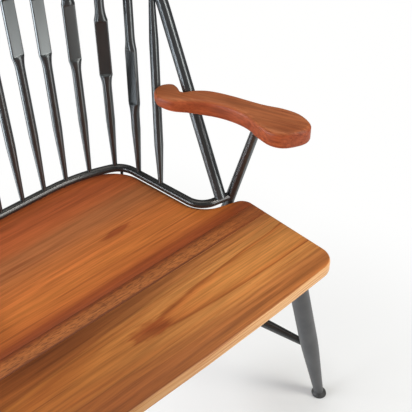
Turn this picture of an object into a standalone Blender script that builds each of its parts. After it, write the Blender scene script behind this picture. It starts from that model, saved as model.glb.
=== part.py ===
"""Hoop-back armchair: a board seat and wooden arms on a painted steel frame.

Metres, +Z up, front towards -Y, standing on the floor at Z = 0.
"""
from math import ceil, cos, pi, radians, sin, sqrt, tan

import bmesh
import bpy
from mathutils import Vector

# Clearance left between pieces that touch
GAP = 0.0003

# Seat, edge-glued from three boards
SEAT_TOP = 0.430
SEAT_THICKNESS = 0.022
SEAT_FRONT = 0.2465
FRONT_BOW = 0.006
SEAT_REAR = 0.2195
REAR_BOW = 0.038
WING_HALF_WIDTH = 0.2915
WING_REAR_Y = -0.030
THROAT_HALF_WIDTH = 0.2103
THROAT_Y = -0.005
REAR_HALF_WIDTH = 0.1905
FRONT_BOW_RADIUS = 2.0
FRONT_CORNER_RADIUS = 0.034
WING_CORNER_RADIUS = 0.022
THROAT_RADIUS = 0.050
REAR_CORNER_RADIUS = 0.065
REAR_BOW_RADIUS = 0.30
SEAT_EDGE_RADIUS = 0.004
STRIP_REAR_Y = -0.050
STRIP_WIDTH = 0.032

# Bent rod that follows the back of the seat
RAIL_RADIUS = 0.0072
RAIL_LIFT = 0.0085
RAIL_SIDE_OUTSET = 0.0014
RAIL_BOW_OUTSET = -0.002
RAIL_MIDDLE_OUTSET = -0.008
RAIL_CORNER_RADIUS = 0.042
RAIL_THROAT_RADIUS = 0.036

# Arm posts, behind the seat's wings
POST_FOOT_RADIUS = 0.0095
POST_TOP_RADIUS = 0.0080
POST_FROM_SIDE = 0.0187
POST_FROM_EDGE = 0.0112
POST_COVER = 0.015

# Hoop of bent tube, its feet on the rail beside the posts
HOOP_RADIUS = 0.010
HOOP_WALL = 0.0015
HOOP_FROM_POST = 0.0218
HOOP_SETBACK = 0.0026
HOOP_RECLINE = radians(26.6)
HOOP_FLARE = radians(2.3)
HOOP_STRAIGHT = 0.330
HOOP_FOOT_START = 0.004

# Spindles between rail and hoop, counted outwards from the middle one
SPINDLES_PER_SIDE = 6
BASE_PITCH = 0.0440
BASE_SPREAD = 0.0000935
TOP_PITCH = 0.0426
TOP_SPREAD = 0.00308
SPINDLE_END_RADIUS = 0.0038
SPINDLE_BODY_RADIUS = 0.0078
SPINDLE_FOOT_SHARE = 0.21
SPINDLE_TOP_TAPER = 0.105

# Where a spindle is pressed flat, measured down from the hoop
FLAT_DROP = 0.234
FLAT_LENGTH = 0.091
FLAT_WIDTH = 0.0222
FLAT_THICKNESS = 0.008
FLAT_STEP = 0.003
FLAT_SHOULDER = 0.024
FLAT_FLARE = 0.22
FLAT_ROUNDNESS = 0.4
FACING_REACH = 0.030

# Arms, with the right one's plan drawn from the hoop's axis at the arm's mid height
ARM_LIFT = 0.190
ARM_THICKNESS = 0.0305
ARM_REAR_THICKNESS = 0.020
ARM_TAPER_LENGTH = 0.090
ARM_EDGE_RADIUS = 0.007
ARM_OUTLINE = [
    (-0.0530, 0.014), (-0.0445, -0.006), (-0.0235, -0.028), (-0.0040, -0.055), (0.0080, -0.088),
    (0.0110, -0.119), (0.0050, -0.148), (0.0035, -0.175), (0.0130, -0.195), (0.0335, -0.2075),
    (0.0530, -0.2115), (0.0680, -0.2020), (0.0755, -0.174), (0.0690, -0.144), (0.0535, -0.111),
    (0.0365, -0.059), (0.0210, -0.025), (0.0030, -0.006), (-0.0145, 0.004), (-0.0090, 0.021),
    (-0.0090, 0.033), (-0.0200, 0.0425), (-0.0315, 0.0440), (-0.0440, 0.0395), (-0.0520, 0.028)]
POST_IN_ARM = (0.0168, -0.1375)

# Straps under the seat that carry the posts and the rail
STRAP_THICKNESS = 0.004
STRAP_WIDTH = 0.020
POST_STRAP_LENGTH = 0.070
POST_STRAP_SCREW = 0.054
RAIL_STRAP_LENGTH = 0.030
RAIL_STRAP_SCREW = 0.026
RAIL_PIN_RADIUS = 0.00275
RAIL_PIN_PLACE = 0.193

# Legs, set in from the seat's edges and splayed
LEG_TOP_RADIUS = 0.0166
LEG_KNEE_RADIUS = 0.0168
LEG_KNEE_Z = 0.165
LEG_FOOT_RADIUS = 0.0093
LEG_WALL = 0.002
FRONT_LEG_FROM_SIDE = 0.035
FRONT_LEG_FROM_FRONT = 0.0715
FRONT_SPLAY_OUT = radians(13.03)
FRONT_SPLAY_FORWARD = radians(2.7)
REAR_LEG_FROM_SIDE = 0.0465
REAR_LEG_FROM_REAR = 0.1045
REAR_SPLAY_OUT = radians(12.9)
REAR_SPLAY_BACK = radians(13.5)
GLIDE_HEIGHT = 0.012
GLIDE_RIM = 0.007
GLIDE_BEVEL = 0.0015
GLIDE_RADIUS = 0.0142
GLIDE_PLUG = 0.014
PLATE_RADIUS = 0.028
PLATE_THICKNESS = 0.003
PLATE_SCREW_CIRCLE = 0.0225
SCREWS_PER_PLATE = 3

# Stretchers
STRETCHER_FRONT_Z = 0.162
STRETCHER_REAR_Z = 0.235
STRETCHER_END_RADIUS = 0.0062
STRETCHER_BODY_RADIUS = 0.0095
STRETCHER_TAPER = 0.110

# Fasteners
SCREW_RADIUS = 0.0020
SCREW_DEPTH = 0.014
SCREW_POINT_LENGTH = 0.004
SCREW_TIP_RADIUS = 0.0007
SCREW_HEAD_RADIUS = 0.0030
SCREW_HEAD_HEIGHT = 0.0022
SCREW_SLOPE = 0.0011
SCREW_CROWN_RADIUS = 0.0015
BOLT_RADIUS = 0.0025
BOLT_DEPTH = 0.013
BOLT_HEAD_RADIUS = 0.0055
BOLT_HEAD_HEIGHT = 0.0035
BOLT_SLOPE = 0.00175
BOLT_CROWN_RADIUS = 0.00275

# Fineness of round shapes
ARC_STEP = radians(10)
OUTLINE_STEPS = 3
ROD_SIDES = 12
TUBE_SIDES = 14
LEG_SIDES = 16
SCREW_SIDES = 8
PLATE_SIDES = 32
STRAP_END_STEPS = 6
EDGE_STEPS = 2
SHARP_ANGLE = radians(38)
CUT_TOLERANCE = 1e-6

# Heights and places that follow from the sizes above
SEAT_UNDERSIDE = SEAT_TOP - SEAT_THICKNESS
RAIL_Z = SEAT_TOP + RAIL_LIFT
ARM_TOP = SEAT_TOP + ARM_LIFT
ARM_MIDDLE = ARM_TOP - ARM_THICKNESS / 2
POST_TOP = ARM_TOP - POST_COVER
PLATE_UNDERSIDE = SEAT_UNDERSIDE - GAP - PLATE_THICKNESS
LEG_TOP = PLATE_UNDERSIDE - GAP
LEG_FOOT = GLIDE_HEIGHT + GAP
STRAP_TOP = SEAT_UNDERSIDE - GAP
STRAP_UNDERSIDE = STRAP_TOP - STRAP_THICKNESS
POST_X = WING_HALF_WIDTH - POST_FROM_SIDE
HOOP_FOOT_X = POST_X - HOOP_FROM_POST
WING_SLOPE = (WING_REAR_Y - THROAT_Y) / (WING_HALF_WIDTH - THROAT_HALF_WIDTH)
SIDES = (("right", 1), ("left", -1))
LEG_ENDS = ("front", "rear")


# Plan curves

def fillet(corners):
    """A path through (x, y, radius) corners with an arc at each one, and sharp ends."""
    path = [Vector(corners[0][:2])]
    for before, corner, after in zip(corners, corners[1:], corners[2:]):
        point = Vector(corner[:2])
        radius = corner[2]
        arrive = (point - Vector(before[:2])).normalized()
        leave = (Vector(after[:2]) - point).normalized()
        turn = arrive.angle(leave)
        left = 1 if arrive.cross(leave) > 0 else -1
        side = Vector((-arrive.y, arrive.x)) * left
        centre = point - arrive * (radius * tan(turn / 2)) + side * radius
        steps = max(2, ceil(turn / ARC_STEP))
        for i in range(steps + 1):
            swung = turn * i / steps
            path.append(centre - side * (radius * cos(swung)) + arrive * (radius * sin(swung)))
    path.append(Vector(corners[-1][:2]))
    return path


def smooth_loop(points, steps):
    """A closed curve through points, rounded between them."""
    count = len(points)
    path = []
    for i in range(count):
        p0, p1, p2, p3 = (points[(i + k) % count] for k in (-1, 0, 1, 2))
        for s in range(steps):
            t = s / steps
            bend = 2 * p0 - 5 * p1 + 4 * p2 - p3
            twist = 3 * p1 - p0 - 3 * p2 + p3
            path.append((2 * p1 + (p2 - p0) * t + bend * t ** 2 + twist * t ** 3) / 2)
    return path


def stadium(start, end, width):
    """A strap's outline: straight sides and round ends."""
    heading = (end - start).normalized()
    across = Vector((-heading.y, heading.x))
    outline = []
    for centre, turned in ((end, 0), (start, pi)):
        for i in range(STRAP_END_STEPS + 1):
            turn = turned - pi / 2 + pi * i / STRAP_END_STEPS
            outline.append(centre + (heading * cos(turn) + across * sin(turn)) * (width / 2))
    return outline


def offset_line(start, end, distance):
    """The line from start to end moved to its left: a point and a direction."""
    direction = (end - start).normalized()
    return start + Vector((-direction.y, direction.x)) * distance, direction


def meet(line_a, line_b):
    """Where two lines, each a point and a direction, cross."""
    (a, u), (b, v) = line_a, line_b
    return a + u * ((b - a).cross(v) / u.cross(v))


def along_path(path, distance):
    """The point and the direction at a distance along a path."""
    for start, end in zip(path, path[1:]):
        length = (end - start).length
        if distance <= length:
            break
        distance -= length
    direction = (end - start).normalized()
    return start + direction * distance, direction


def sided(point, side):
    """A point on the right side, or its mirror image on the left."""
    return Vector((point[0] * side, *point[1:]))


def sided_outline(outline, side):
    """An outline on the right side, or its mirror image, turning the same way."""
    return outline if side > 0 else [sided(p, side) for p in reversed(outline)]


# Solids

def skin(rings, closed=False):
    """Faces between rings of points, capped at both ends or closed on itself."""
    bm = bmesh.new()
    loops = [[bm.verts.new(point) for point in points] for points in rings]
    pairs = list(zip(loops, loops[1:]))
    if closed:
        pairs.append((loops[-1], loops[0]))
    else:
        bm.faces.new(reversed(loops[0]))
        bm.faces.new(loops[-1])
    for low, high in pairs:
        for i in range(len(low)):
            j = (i + 1) % len(low)
            bm.faces.new((low[i], low[j], high[j], high[i]))
    return bm


def ring(centre, radius, sides, across=Vector((1, 0, 0)), along=Vector((0, 1, 0))):
    """A circle of points about a centre, in the plane of two directions."""
    turns = [2 * pi * i / sides for i in range(sides)]
    return [Vector(centre) + (across * cos(t) + along * sin(t)) * radius for t in turns]


def level_rod(stations, sides):
    """A rod through (centre, radius) stations, each ring lying level."""
    return skin([ring(centre, radius, sides) for centre, radius in stations])


def straight_rod(stations, sides):
    """A rod through (centre, radius) stations on one line, its rings square to it."""
    axis = (stations[-1][0] - stations[0][0]).normalized()
    across = axis.orthogonal().normalized()
    return skin([ring(c, r, sides, across, axis.cross(across)) for c, r in stations])


def flat_plate(outline, low, high):
    """A plate of one outline between two heights."""
    return skin([[Vector((*p, z)) for p in outline] for z in (low, high)])


def rounded_slab(outline, low, high, radius):
    """A slab with an anticlockwise outline and rounded upper and lower edges."""
    inwards = []
    for i, point in enumerate(outline):
        arrive = (point - outline[i - 1]).normalized()
        leave = (outline[(i + 1) % len(outline)] - point).normalized()
        inwards.append(Vector((-arrive.y - leave.y, arrive.x + leave.x)).normalized())
    edge = []
    for i in range(EDGE_STEPS + 1):
        turn = pi / 2 * i / EDGE_STEPS
        edge.append((radius * (1 - cos(turn)), radius * (1 - sin(turn))))
    levels = [(low + rise, inset) for rise, inset in edge]
    levels += [(high - rise, inset) for rise, inset in reversed(edge)]
    rings = []
    for z, inset in levels:
        rings.append([Vector((*(p + n * inset), z)) for p, n in zip(outline, inwards)])
    return skin(rings)


def keep_between(bm, rear, front):
    """Cut a slab to what lies between two Y planes, and close the cuts."""
    for place, outwards in ((rear, 1), (front, -1)):
        if place is not None:
            everything = bm.verts[:] + bm.edges[:] + bm.faces[:]
            bmesh.ops.bisect_plane(
                bm, geom=everything, dist=CUT_TOLERANCE, plane_co=(0, place, 0),
                plane_no=(0, outwards, 0), clear_outer=True)
            bmesh.ops.holes_fill(bm, edges=[edge for edge in bm.edges if edge.is_boundary])
    return bm


# Objects

def make_material(name, colour, roughness, metallic):
    """A Principled material of one colour."""
    material = bpy.data.materials.new(name)
    material.use_nodes = True
    shader = material.node_tree.nodes["Principled BSDF"]
    shader.inputs["Base Color"].default_value = (*colour, 1.0)
    shader.inputs["Roughness"].default_value = roughness
    shader.inputs["Metallic"].default_value = metallic
    return material


def add_object(name, bm, material):
    """A named piece of the chair, shaded smooth but for its sharp edges."""
    bmesh.ops.recalc_face_normals(bm, faces=bm.faces[:])
    mesh = bpy.data.meshes.new(name)
    bm.to_mesh(mesh)
    bm.free()
    mesh.shade_smooth()
    mesh.set_sharp_from_angle(angle=SHARP_ANGLE)
    if material:
        mesh.materials.append(material)
    made = bpy.data.objects.new(name, mesh)
    made.parent = CHAIR
    bpy.context.scene.collection.objects.link(made)
    return made


def add_cutter(name, bm):
    """A shape that only cuts pieces."""
    made = add_object(name, bm, None)
    made.hide_render = True
    made.display_type = "WIRE"
    return made


def combine(target, other, operation="DIFFERENCE"):
    """Cut a piece with another shape, or join that shape to it."""
    modifier = target.modifiers.new(other.name, "BOOLEAN")
    modifier.operation = operation
    modifier.solver = "EXACT"
    modifier.object = other


def pool_cutters(name, stations_list, sides):
    """One cutter that holds a separate rod for each list of stations."""
    bm = bmesh.new()
    for stations in stations_list:
        rod = level_rod(stations, sides)
        bmesh.ops.recalc_face_normals(rod, faces=rod.faces[:])
        mesh = bpy.data.meshes.new(name)
        rod.to_mesh(mesh)
        rod.free()
        bm.from_mesh(mesh)
        bpy.data.meshes.remove(mesh)
    return add_cutter(name, bm)


# Where the frame's parts run

def wing_edge_y(x):
    """The back edge of the right wing at X."""
    return THROAT_Y + WING_SLOPE * (x - THROAT_HALF_WIDTH)


def seat_outline():
    """The seat's plan, anticlockwise from the middle of its front edge."""
    half = fillet([
        (0, -SEAT_FRONT, 0),
        (WING_HALF_WIDTH / 2, -SEAT_FRONT + FRONT_BOW / 4, FRONT_BOW_RADIUS),
        (WING_HALF_WIDTH, -SEAT_FRONT + FRONT_BOW, FRONT_CORNER_RADIUS),
        (WING_HALF_WIDTH, WING_REAR_Y, WING_CORNER_RADIUS),
        (THROAT_HALF_WIDTH, THROAT_Y, THROAT_RADIUS),
        (REAR_HALF_WIDTH, SEAT_REAR - REAR_BOW, REAR_CORNER_RADIUS),
        (REAR_HALF_WIDTH / 2, SEAT_REAR, REAR_BOW_RADIUS),
        (0, SEAT_REAR, 0)])
    return half + [sided(p, -1) for p in half[-2:0:-1]]


def hoop_point(x, climb):
    """A point in the hoop's leaning plane, by its X and its distance up the slope."""
    foot_y = wing_edge_y(HOOP_FOOT_X) + RAIL_SIDE_OUTSET + HOOP_SETBACK
    return Vector((x, foot_y + climb * sin(HOOP_RECLINE), RAIL_Z + climb * cos(HOOP_RECLINE)))


def hoop_side(climb):
    """The right side of the hoop at a distance up the slope."""
    return hoop_point(HOOP_FOOT_X + climb * tan(HOOP_FLARE), climb)


def hoop_bend():
    """The hoop's bend: its radius, and how far up the slope its centre lies."""
    radius = hoop_side(HOOP_STRAIGHT).x / cos(HOOP_FLARE)
    return radius, HOOP_STRAIGHT + radius * sin(HOOP_FLARE)


def hoop_at(arc):
    """The right half of the hoop's axis at a distance round from its top."""
    radius, centre = hoop_bend()
    turn = arc / radius
    past = arc - radius * (pi / 2 + HOOP_FLARE)
    if past > 0:
        return hoop_side(HOOP_STRAIGHT - past * cos(HOOP_FLARE))
    return hoop_point(radius * sin(turn), centre + radius * cos(turn))


def post_point(z):
    """The right arm post's axis at height Z."""
    foot_y = wing_edge_y(POST_X) + POST_FROM_EDGE * sqrt(1 + WING_SLOPE ** 2)
    foot = Vector((POST_X, foot_y, SEAT_TOP))
    arm = arm_origin()
    top = Vector((arm.x + POST_IN_ARM[0], arm.y + POST_IN_ARM[1], POST_TOP))
    return foot + (top - foot) * ((z - SEAT_TOP) / (POST_TOP - SEAT_TOP))


def arm_origin():
    """The hoop's axis at the right arm's mid height."""
    return hoop_side((ARM_MIDDLE - RAIL_Z) / cos(HOOP_RECLINE))


def rail_corners():
    """The right half of the rail as (x, y, radius) corners, from the middle of the back."""
    wing = Vector((WING_HALF_WIDTH, WING_REAR_Y))
    throat = Vector((THROAT_HALF_WIDTH, THROAT_Y))
    rear = Vector((REAR_HALF_WIDTH, SEAT_REAR - REAR_BOW))
    middle = Vector((REAR_HALF_WIDTH / 2, SEAT_REAR))
    back_line = offset_line(Vector((0, SEAT_REAR)), middle, RAIL_MIDDLE_OUTSET)
    bow_line = offset_line(middle, rear, RAIL_BOW_OUTSET)
    side_line = offset_line(rear, throat, RAIL_SIDE_OUTSET)
    wing_line = offset_line(throat, wing, RAIL_SIDE_OUTSET)
    end = post_point(RAIL_Z)
    return [
        (0, back_line[0].y, 0),
        (*meet(back_line, bow_line), REAR_BOW_RADIUS),
        (*meet(bow_line, side_line), RAIL_CORNER_RADIUS),
        (*meet(side_line, wing_line), RAIL_THROAT_RADIUS),
        (end.x, end.y, 0)]


def rail_pin():
    """The right pin under the rail, and the direction from it in under the seat."""
    pin, direction = along_path(fillet(rail_corners()), RAIL_PIN_PLACE)
    return pin, Vector((direction.y, -direction.x))


def leg_line(front):
    """A right leg's axis: its place under the seat, and its lean for each metre down."""
    if front:
        place = (WING_HALF_WIDTH - FRONT_LEG_FROM_SIDE, FRONT_LEG_FROM_FRONT - SEAT_FRONT)
        return Vector(place), Vector((tan(FRONT_SPLAY_OUT), -tan(FRONT_SPLAY_FORWARD)))
    place = (REAR_HALF_WIDTH - REAR_LEG_FROM_SIDE, SEAT_REAR - REAR_LEG_FROM_REAR)
    return Vector(place), Vector((tan(REAR_SPLAY_OUT), tan(REAR_SPLAY_BACK)))


def leg_point(front, z):
    """A right leg's axis at height Z."""
    place, lean = leg_line(front)
    return Vector((*(place + lean * (SEAT_UNDERSIDE - z)), z))


def leg_stations(front, side):
    """A leg's (centre, radius) stations, its taper starting at the knee."""
    sizes = ((LEG_FOOT, LEG_FOOT_RADIUS), (LEG_KNEE_Z, LEG_KNEE_RADIUS), (LEG_TOP, LEG_TOP_RADIUS))
    return [(sided(leg_point(front, z), side), radius) for z, radius in sizes]


# Pieces

def rail_rod(radius):
    """The rail, swept from the left post round the back to the right post."""
    half = fillet(rail_corners())
    path = [sided(p, -1) for p in reversed(half[1:])] + half
    rings = []
    for i, point in enumerate(path):
        direction = (path[min(i + 1, len(path) - 1)] - path[max(i - 1, 0)]).normalized()
        across = Vector((-direction.y, direction.x, 0))
        rings.append(ring((*point, RAIL_Z), radius, ROD_SIDES, across, Vector((0, 0, 1))))
    return skin(rings)


def hoop_rings(radius):
    """Rings up the left side of the hoop, over its top and down the right side."""
    bend, centre = hoop_bend()
    up = hoop_point(0, 1) - hoop_point(0, 0)
    face = up.cross(Vector((1, 0, 0)))
    half_turn = pi / 2 + HOOP_FLARE
    steps = 2 * ceil(half_turn / ARC_STEP)
    foot = hoop_side(HOOP_FOOT_START)
    stations = [(sided(foot, -1), -half_turn)]
    for i in range(steps + 1):
        turn = half_turn * (2 * i / steps - 1)
        stations.append((hoop_point(bend * sin(turn), centre + bend * cos(turn)), turn))
    stations.append((foot, half_turn))
    rings = []
    for point, turn in stations:
        outwards = Vector((sin(turn), 0, 0)) + up * cos(turn)
        rings.append(ring(point, radius, TUBE_SIDES, outwards, face))
    return rings


def pressed_ring(centre, half_width, half_depth, facing):
    """A spindle's section: round where both halves are equal, boxy where it is pressed."""
    depth = Vector((-facing.y, facing.x, 0))
    power = FLAT_ROUNDNESS + (1 - FLAT_ROUNDNESS) * min(1.0, half_depth / half_width)
    points = []
    for i in range(ROD_SIDES):
        turn = 2 * pi * (i + 0.5) / ROD_SIDES
        wide = abs(cos(turn)) ** power * (1 if cos(turn) > 0 else -1)
        deep = abs(sin(turn)) ** power * (1 if sin(turn) > 0 else -1)
        points.append(centre + facing * (half_width * wide) + depth * (half_depth * deep))
    return points


def spindle_profile(length):
    """A spindle's (height, half width, half depth) stations, pressed flat if it is long enough."""
    end, body = SPINDLE_END_RADIUS, SPINDLE_BODY_RADIUS
    foot_taper = SPINDLE_FOOT_SHARE * length
    lower = [(0, end, end), (foot_taper, body, body)]
    upper = [(length - SPINDLE_TOP_TAPER, body, body), (length, end, end)]
    flat_top = length - FLAT_DROP + FLAT_LENGTH / 2
    flat_foot = flat_top - FLAT_LENGTH
    shoulder_foot = flat_foot - FLAT_STEP - FLAT_SHOULDER
    if shoulder_foot < foot_taper:
        return lower + upper
    wide, thin = FLAT_WIDTH / 2, FLAT_THICKNESS / 2
    flared = body + (wide - body) * FLAT_FLARE
    below = [
        (shoulder_foot, body, body),
        (shoulder_foot + FLAT_SHOULDER / 2, flared, body),
        (flat_foot - FLAT_STEP, wide, body),
        (flat_foot, wide, thin)]
    above = [(flat_foot + flat_top - z, half_width, depth) for z, half_width, depth in reversed(below)]
    return lower + below + above + upper


def add_spindle(name, count, side):
    """One spindle, its ends shaped to the rail and the hoop."""
    path = fillet(rail_corners())
    place = BASE_PITCH * count + BASE_SPREAD * count ** 3
    foot, before, after = (along_path(path, place + step)[0] for step in (0, -FACING_REACH, FACING_REACH))
    direction = (after - before).normalized()
    foot = sided((*foot, RAIL_Z), side)
    top = sided(hoop_at(TOP_PITCH * count + TOP_SPREAD * count ** 2), side)
    facing = Vector((direction.x, direction.y * side, 0))
    length = top.z - foot.z
    rings = []
    for height, half_width, half_depth in spindle_profile(length):
        rings.append(pressed_ring(foot.lerp(top, height / length), half_width, half_depth, facing))
    spindle = add_object(name, skin(rings), PAINT)
    combine(spindle, rail_cutter)
    combine(spindle, hoop_cutter)


def add_screw(name, place, under):
    """A pan-head screw driven up into the seat from below a plate."""
    x, y = place
    head_top = under - GAP
    head_low = head_top - SCREW_HEAD_HEIGHT
    tip = SEAT_UNDERSIDE + SCREW_DEPTH
    add_object(name, level_rod([
        ((x, y, head_low), SCREW_CROWN_RADIUS),
        ((x, y, head_low + SCREW_SLOPE), SCREW_HEAD_RADIUS),
        ((x, y, head_top), SCREW_HEAD_RADIUS),
        ((x, y, head_top + GAP / 2), SCREW_RADIUS),
        ((x, y, tip - SCREW_POINT_LENGTH), SCREW_RADIUS),
        ((x, y, tip), SCREW_TIP_RADIUS)], SCREW_SIDES), STEEL)


def screw_hole(place):
    """The stations of a hole for one of the screws, from below its plate to past its tip."""
    low = Vector((*place, STRAP_UNDERSIDE - PLATE_THICKNESS))
    high = Vector((*place, SEAT_UNDERSIDE + SCREW_DEPTH + GAP))
    return [(low, SCREW_RADIUS + GAP), (high, SCREW_RADIUS + GAP)]


def plate_screw_places(front, side):
    """Where the screws of a leg's plate go, one of them straight inwards."""
    centre = leg_point(front, PLATE_UNDERSIDE)
    places = []
    for i in range(SCREWS_PER_PLATE):
        turn = pi + 2 * pi * i / SCREWS_PER_PLATE
        x = centre.x + PLATE_SCREW_CIRCLE * cos(turn)
        places.append((x * side, centre.y + PLATE_SCREW_CIRCLE * sin(turn)))
    return places


def add_leg(end, name, side):
    """A leg: its tapered tube, the plate on top, the plate's screws and the glide."""
    front = end == "front"
    stations = leg_stations(front, side)
    inner = [(centre, radius - LEG_WALL) for centre, radius in reversed(stations)]
    rings = [ring(centre, radius, LEG_SIDES) for centre, radius in stations + inner]
    add_object(f"leg_{end}_{name}", skin(rings, closed=True), PAINT)
    leg_cutters[end, side] = add_cutter(
        f"cut_leg_{end}_{name}", level_rod([(c, r + GAP) for c, r in stations], LEG_SIDES))

    plate_centre = sided(leg_point(front, PLATE_UNDERSIDE), side)
    heights = (PLATE_UNDERSIDE, SEAT_UNDERSIDE - GAP)
    disc = [((*plate_centre.xy, z), PLATE_RADIUS) for z in heights]
    plate = add_object(f"leg_plate_{end}_{name}", level_rod(disc, PLATE_SIDES), PAINT)
    combine(plate, screw_cutter)
    for i, place in enumerate(plate_screw_places(front, side)):
        add_screw(f"leg_screw_{end}_{name}_{i + 1}", place, PLATE_UNDERSIDE)

    plug = LEG_FOOT_RADIUS - LEG_WALL - GAP
    glide = [
        (0, GLIDE_RADIUS - GLIDE_BEVEL),
        (GLIDE_BEVEL, GLIDE_RADIUS),
        (GLIDE_RIM, GLIDE_RADIUS),
        (GLIDE_HEIGHT, LEG_FOOT_RADIUS),
        (GLIDE_HEIGHT + GAP / 2, plug),
        (GLIDE_HEIGHT + GLIDE_PLUG, plug)]
    stations = [(sided(leg_point(front, z), side), radius) for z, radius in glide]
    add_object(f"glide_{end}_{name}", level_rod(stations, LEG_SIDES), RUBBER)


def stretcher_ends(side):
    """Where a side stretcher meets the axes of its legs."""
    front = leg_point(True, STRETCHER_FRONT_Z)
    rear = leg_point(False, STRETCHER_REAR_Z)
    return sided(front, side), sided(rear, side)


def stretcher_rod(start, end, extra):
    """A stretcher, thin at both ends and fuller between."""
    step = (end - start).normalized() * STRETCHER_TAPER
    thin, full = STRETCHER_END_RADIUS + extra, STRETCHER_BODY_RADIUS + extra
    stations = [(start, thin), (start + step, full), (end - step, full), (end, thin)]
    return straight_rod(stations, ROD_SIDES)


def thin_rear(slab, start):
    """Raise an arm's underside steadily behind Y = start."""
    everything = slab.verts[:] + slab.edges[:] + slab.faces[:]
    bmesh.ops.bisect_plane(
        slab, geom=everything, dist=CUT_TOLERANCE, plane_co=(0, start, 0), plane_no=(0, 1, 0))
    slope = (ARM_THICKNESS - ARM_REAR_THICKNESS) / ARM_TAPER_LENGTH
    for vert in slab.verts:
        if vert.co.z < ARM_MIDDLE:
            vert.co.z += slope * max(0, vert.co.y - start)


def add_arm(name, side):
    """An arm with its groove for the hoop, its socket for the post and its bolt hole."""
    origin = arm_origin()
    outline = smooth_loop([origin.xy + Vector(p) for p in ARM_OUTLINE], OUTLINE_STEPS)
    slab = rounded_slab(
        sided_outline(outline, side), ARM_TOP - ARM_THICKNESS, ARM_TOP, ARM_EDGE_RADIUS)
    thin_rear(slab, max(p.y for p in outline) - ARM_TAPER_LENGTH)
    arm = add_object(f"armrest_{name}", slab, ARM_WOOD)
    for other in (hoop_cutter, post_cutters[side], bolt_cutters[side]):
        combine(arm, other)


def add_post(name, side):
    """An arm post from its strap up into the arm."""
    ends = ((SEAT_UNDERSIDE, POST_FOOT_RADIUS), (POST_TOP, POST_TOP_RADIUS))
    stations = [(sided(post_point(z), side), radius) for z, radius in ends]
    add_object(f"arm_post_{name}", level_rod(stations, ROD_SIDES), PAINT)
    over = sided(post_point(POST_TOP + GAP), side)
    grown = [(stations[0][0], POST_FOOT_RADIUS + GAP), (over, POST_TOP_RADIUS + GAP)]
    post_cutters[side] = add_cutter(f"cut_post_{name}", level_rod(grown, ROD_SIDES))


def post_strap(side):
    """A post strap's two centres and its screw's place."""
    rear = post_point(SEAT_UNDERSIDE).xy
    front = rear - Vector((0, POST_STRAP_LENGTH))
    screw = rear - Vector((0, POST_STRAP_SCREW))
    return [sided(p, side) for p in (front, rear, screw)]


def rail_strap(side):
    """A rail strap's two centres and its screw's place."""
    pin, inwards = rail_pin()
    end = pin + inwards * RAIL_STRAP_LENGTH
    screw = pin + inwards * RAIL_STRAP_SCREW
    return [sided(p, side) for p in (pin, end, screw)]


def add_straps(name, side):
    """The two straps of one side, with their screws and the pin under the rail."""
    for kind, (start, end, screw) in (("post", post_strap(side)), ("rail", rail_strap(side))):
        plate = flat_plate(stadium(start, end, STRAP_WIDTH), STRAP_UNDERSIDE, STRAP_TOP)
        strap = add_object(f"{kind}_strap_{name}", plate, PAINT)
        if kind == "rail":
            middle = STRAP_TOP - STRAP_THICKNESS / 2
            pin = add_cutter(f"pin_{name}", level_rod(
                [((*start, middle), RAIL_PIN_RADIUS), ((*start, RAIL_Z), RAIL_PIN_RADIUS)], ROD_SIDES))
            combine(strap, pin, "UNION")
            combine(strap, rail_cutter)
        combine(strap, screw_cutter)
        add_screw(f"{kind}_strap_screw_{name}", screw, STRAP_UNDERSIDE)


def add_bolt(name, side):
    """A dome-head bolt through the hoop into the arm."""
    origin = arm_origin()
    seat_x = origin.x + HOOP_RADIUS + 2 * GAP
    tip_x = origin.x - HOOP_RADIUS - BOLT_DEPTH
    profile = [
        (tip_x, BOLT_RADIUS),
        (seat_x - GAP / 2, BOLT_RADIUS),
        (seat_x, BOLT_HEAD_RADIUS),
        (seat_x + BOLT_HEAD_HEIGHT - BOLT_SLOPE, BOLT_HEAD_RADIUS),
        (seat_x + BOLT_HEAD_HEIGHT, BOLT_CROWN_RADIUS)]
    stations = [(sided(Vector((x, origin.y, origin.z)), side), radius) for x, radius in profile]
    add_object(f"arm_bolt_{name}", straight_rod(stations, SCREW_SIDES), STEEL)
    hole = [(tip_x - GAP, BOLT_RADIUS + GAP), (seat_x, BOLT_RADIUS + GAP)]
    grown = [(sided(Vector((x, origin.y, origin.z)), side), radius) for x, radius in hole]
    bolt_cutters[side] = add_cutter(f"cut_bolt_{name}", straight_rod(grown, SCREW_SIDES))


def add_board(name, rear, front, material):
    """One board of the seat, between two Y planes."""
    slab = rounded_slab(seat_outline(), SEAT_UNDERSIDE, SEAT_TOP, SEAT_EDGE_RADIUS)
    board = add_object(name, keep_between(slab, rear, front), material)
    combine(board, screw_cutter)


for found in list(bpy.data.objects):
    bpy.data.objects.remove(found, do_unlink=True)

FRONT_WOOD = make_material("front_board_wood", (0.46, 0.20, 0.065), 0.42, 0.0)
STRIP_WOOD = make_material("middle_strip_wood", (0.30, 0.125, 0.050), 0.45, 0.0)
REAR_WOOD = make_material("rear_board_wood", (0.38, 0.120, 0.040), 0.42, 0.0)
ARM_WOOD = make_material("arm_wood", (0.36, 0.130, 0.050), 0.45, 0.0)
PAINT = make_material("frame_paint", (0.030, 0.032, 0.035), 0.34, 0.0)
STEEL = make_material("screw_steel", (0.060, 0.060, 0.062), 0.40, 1.0)
RUBBER = make_material("glide_rubber", (0.012, 0.012, 0.012), 0.70, 0.0)

# The chair's middle lies over the origin
bend_radius, bend_centre = hoop_bend()
hoop_back = hoop_point(0, bend_centre + bend_radius).y + HOOP_RADIUS
CHAIR = bpy.data.objects.new("chair", None)
CHAIR.location.y = (SEAT_FRONT - hoop_back) / 2
bpy.context.scene.collection.objects.link(CHAIR)

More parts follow.
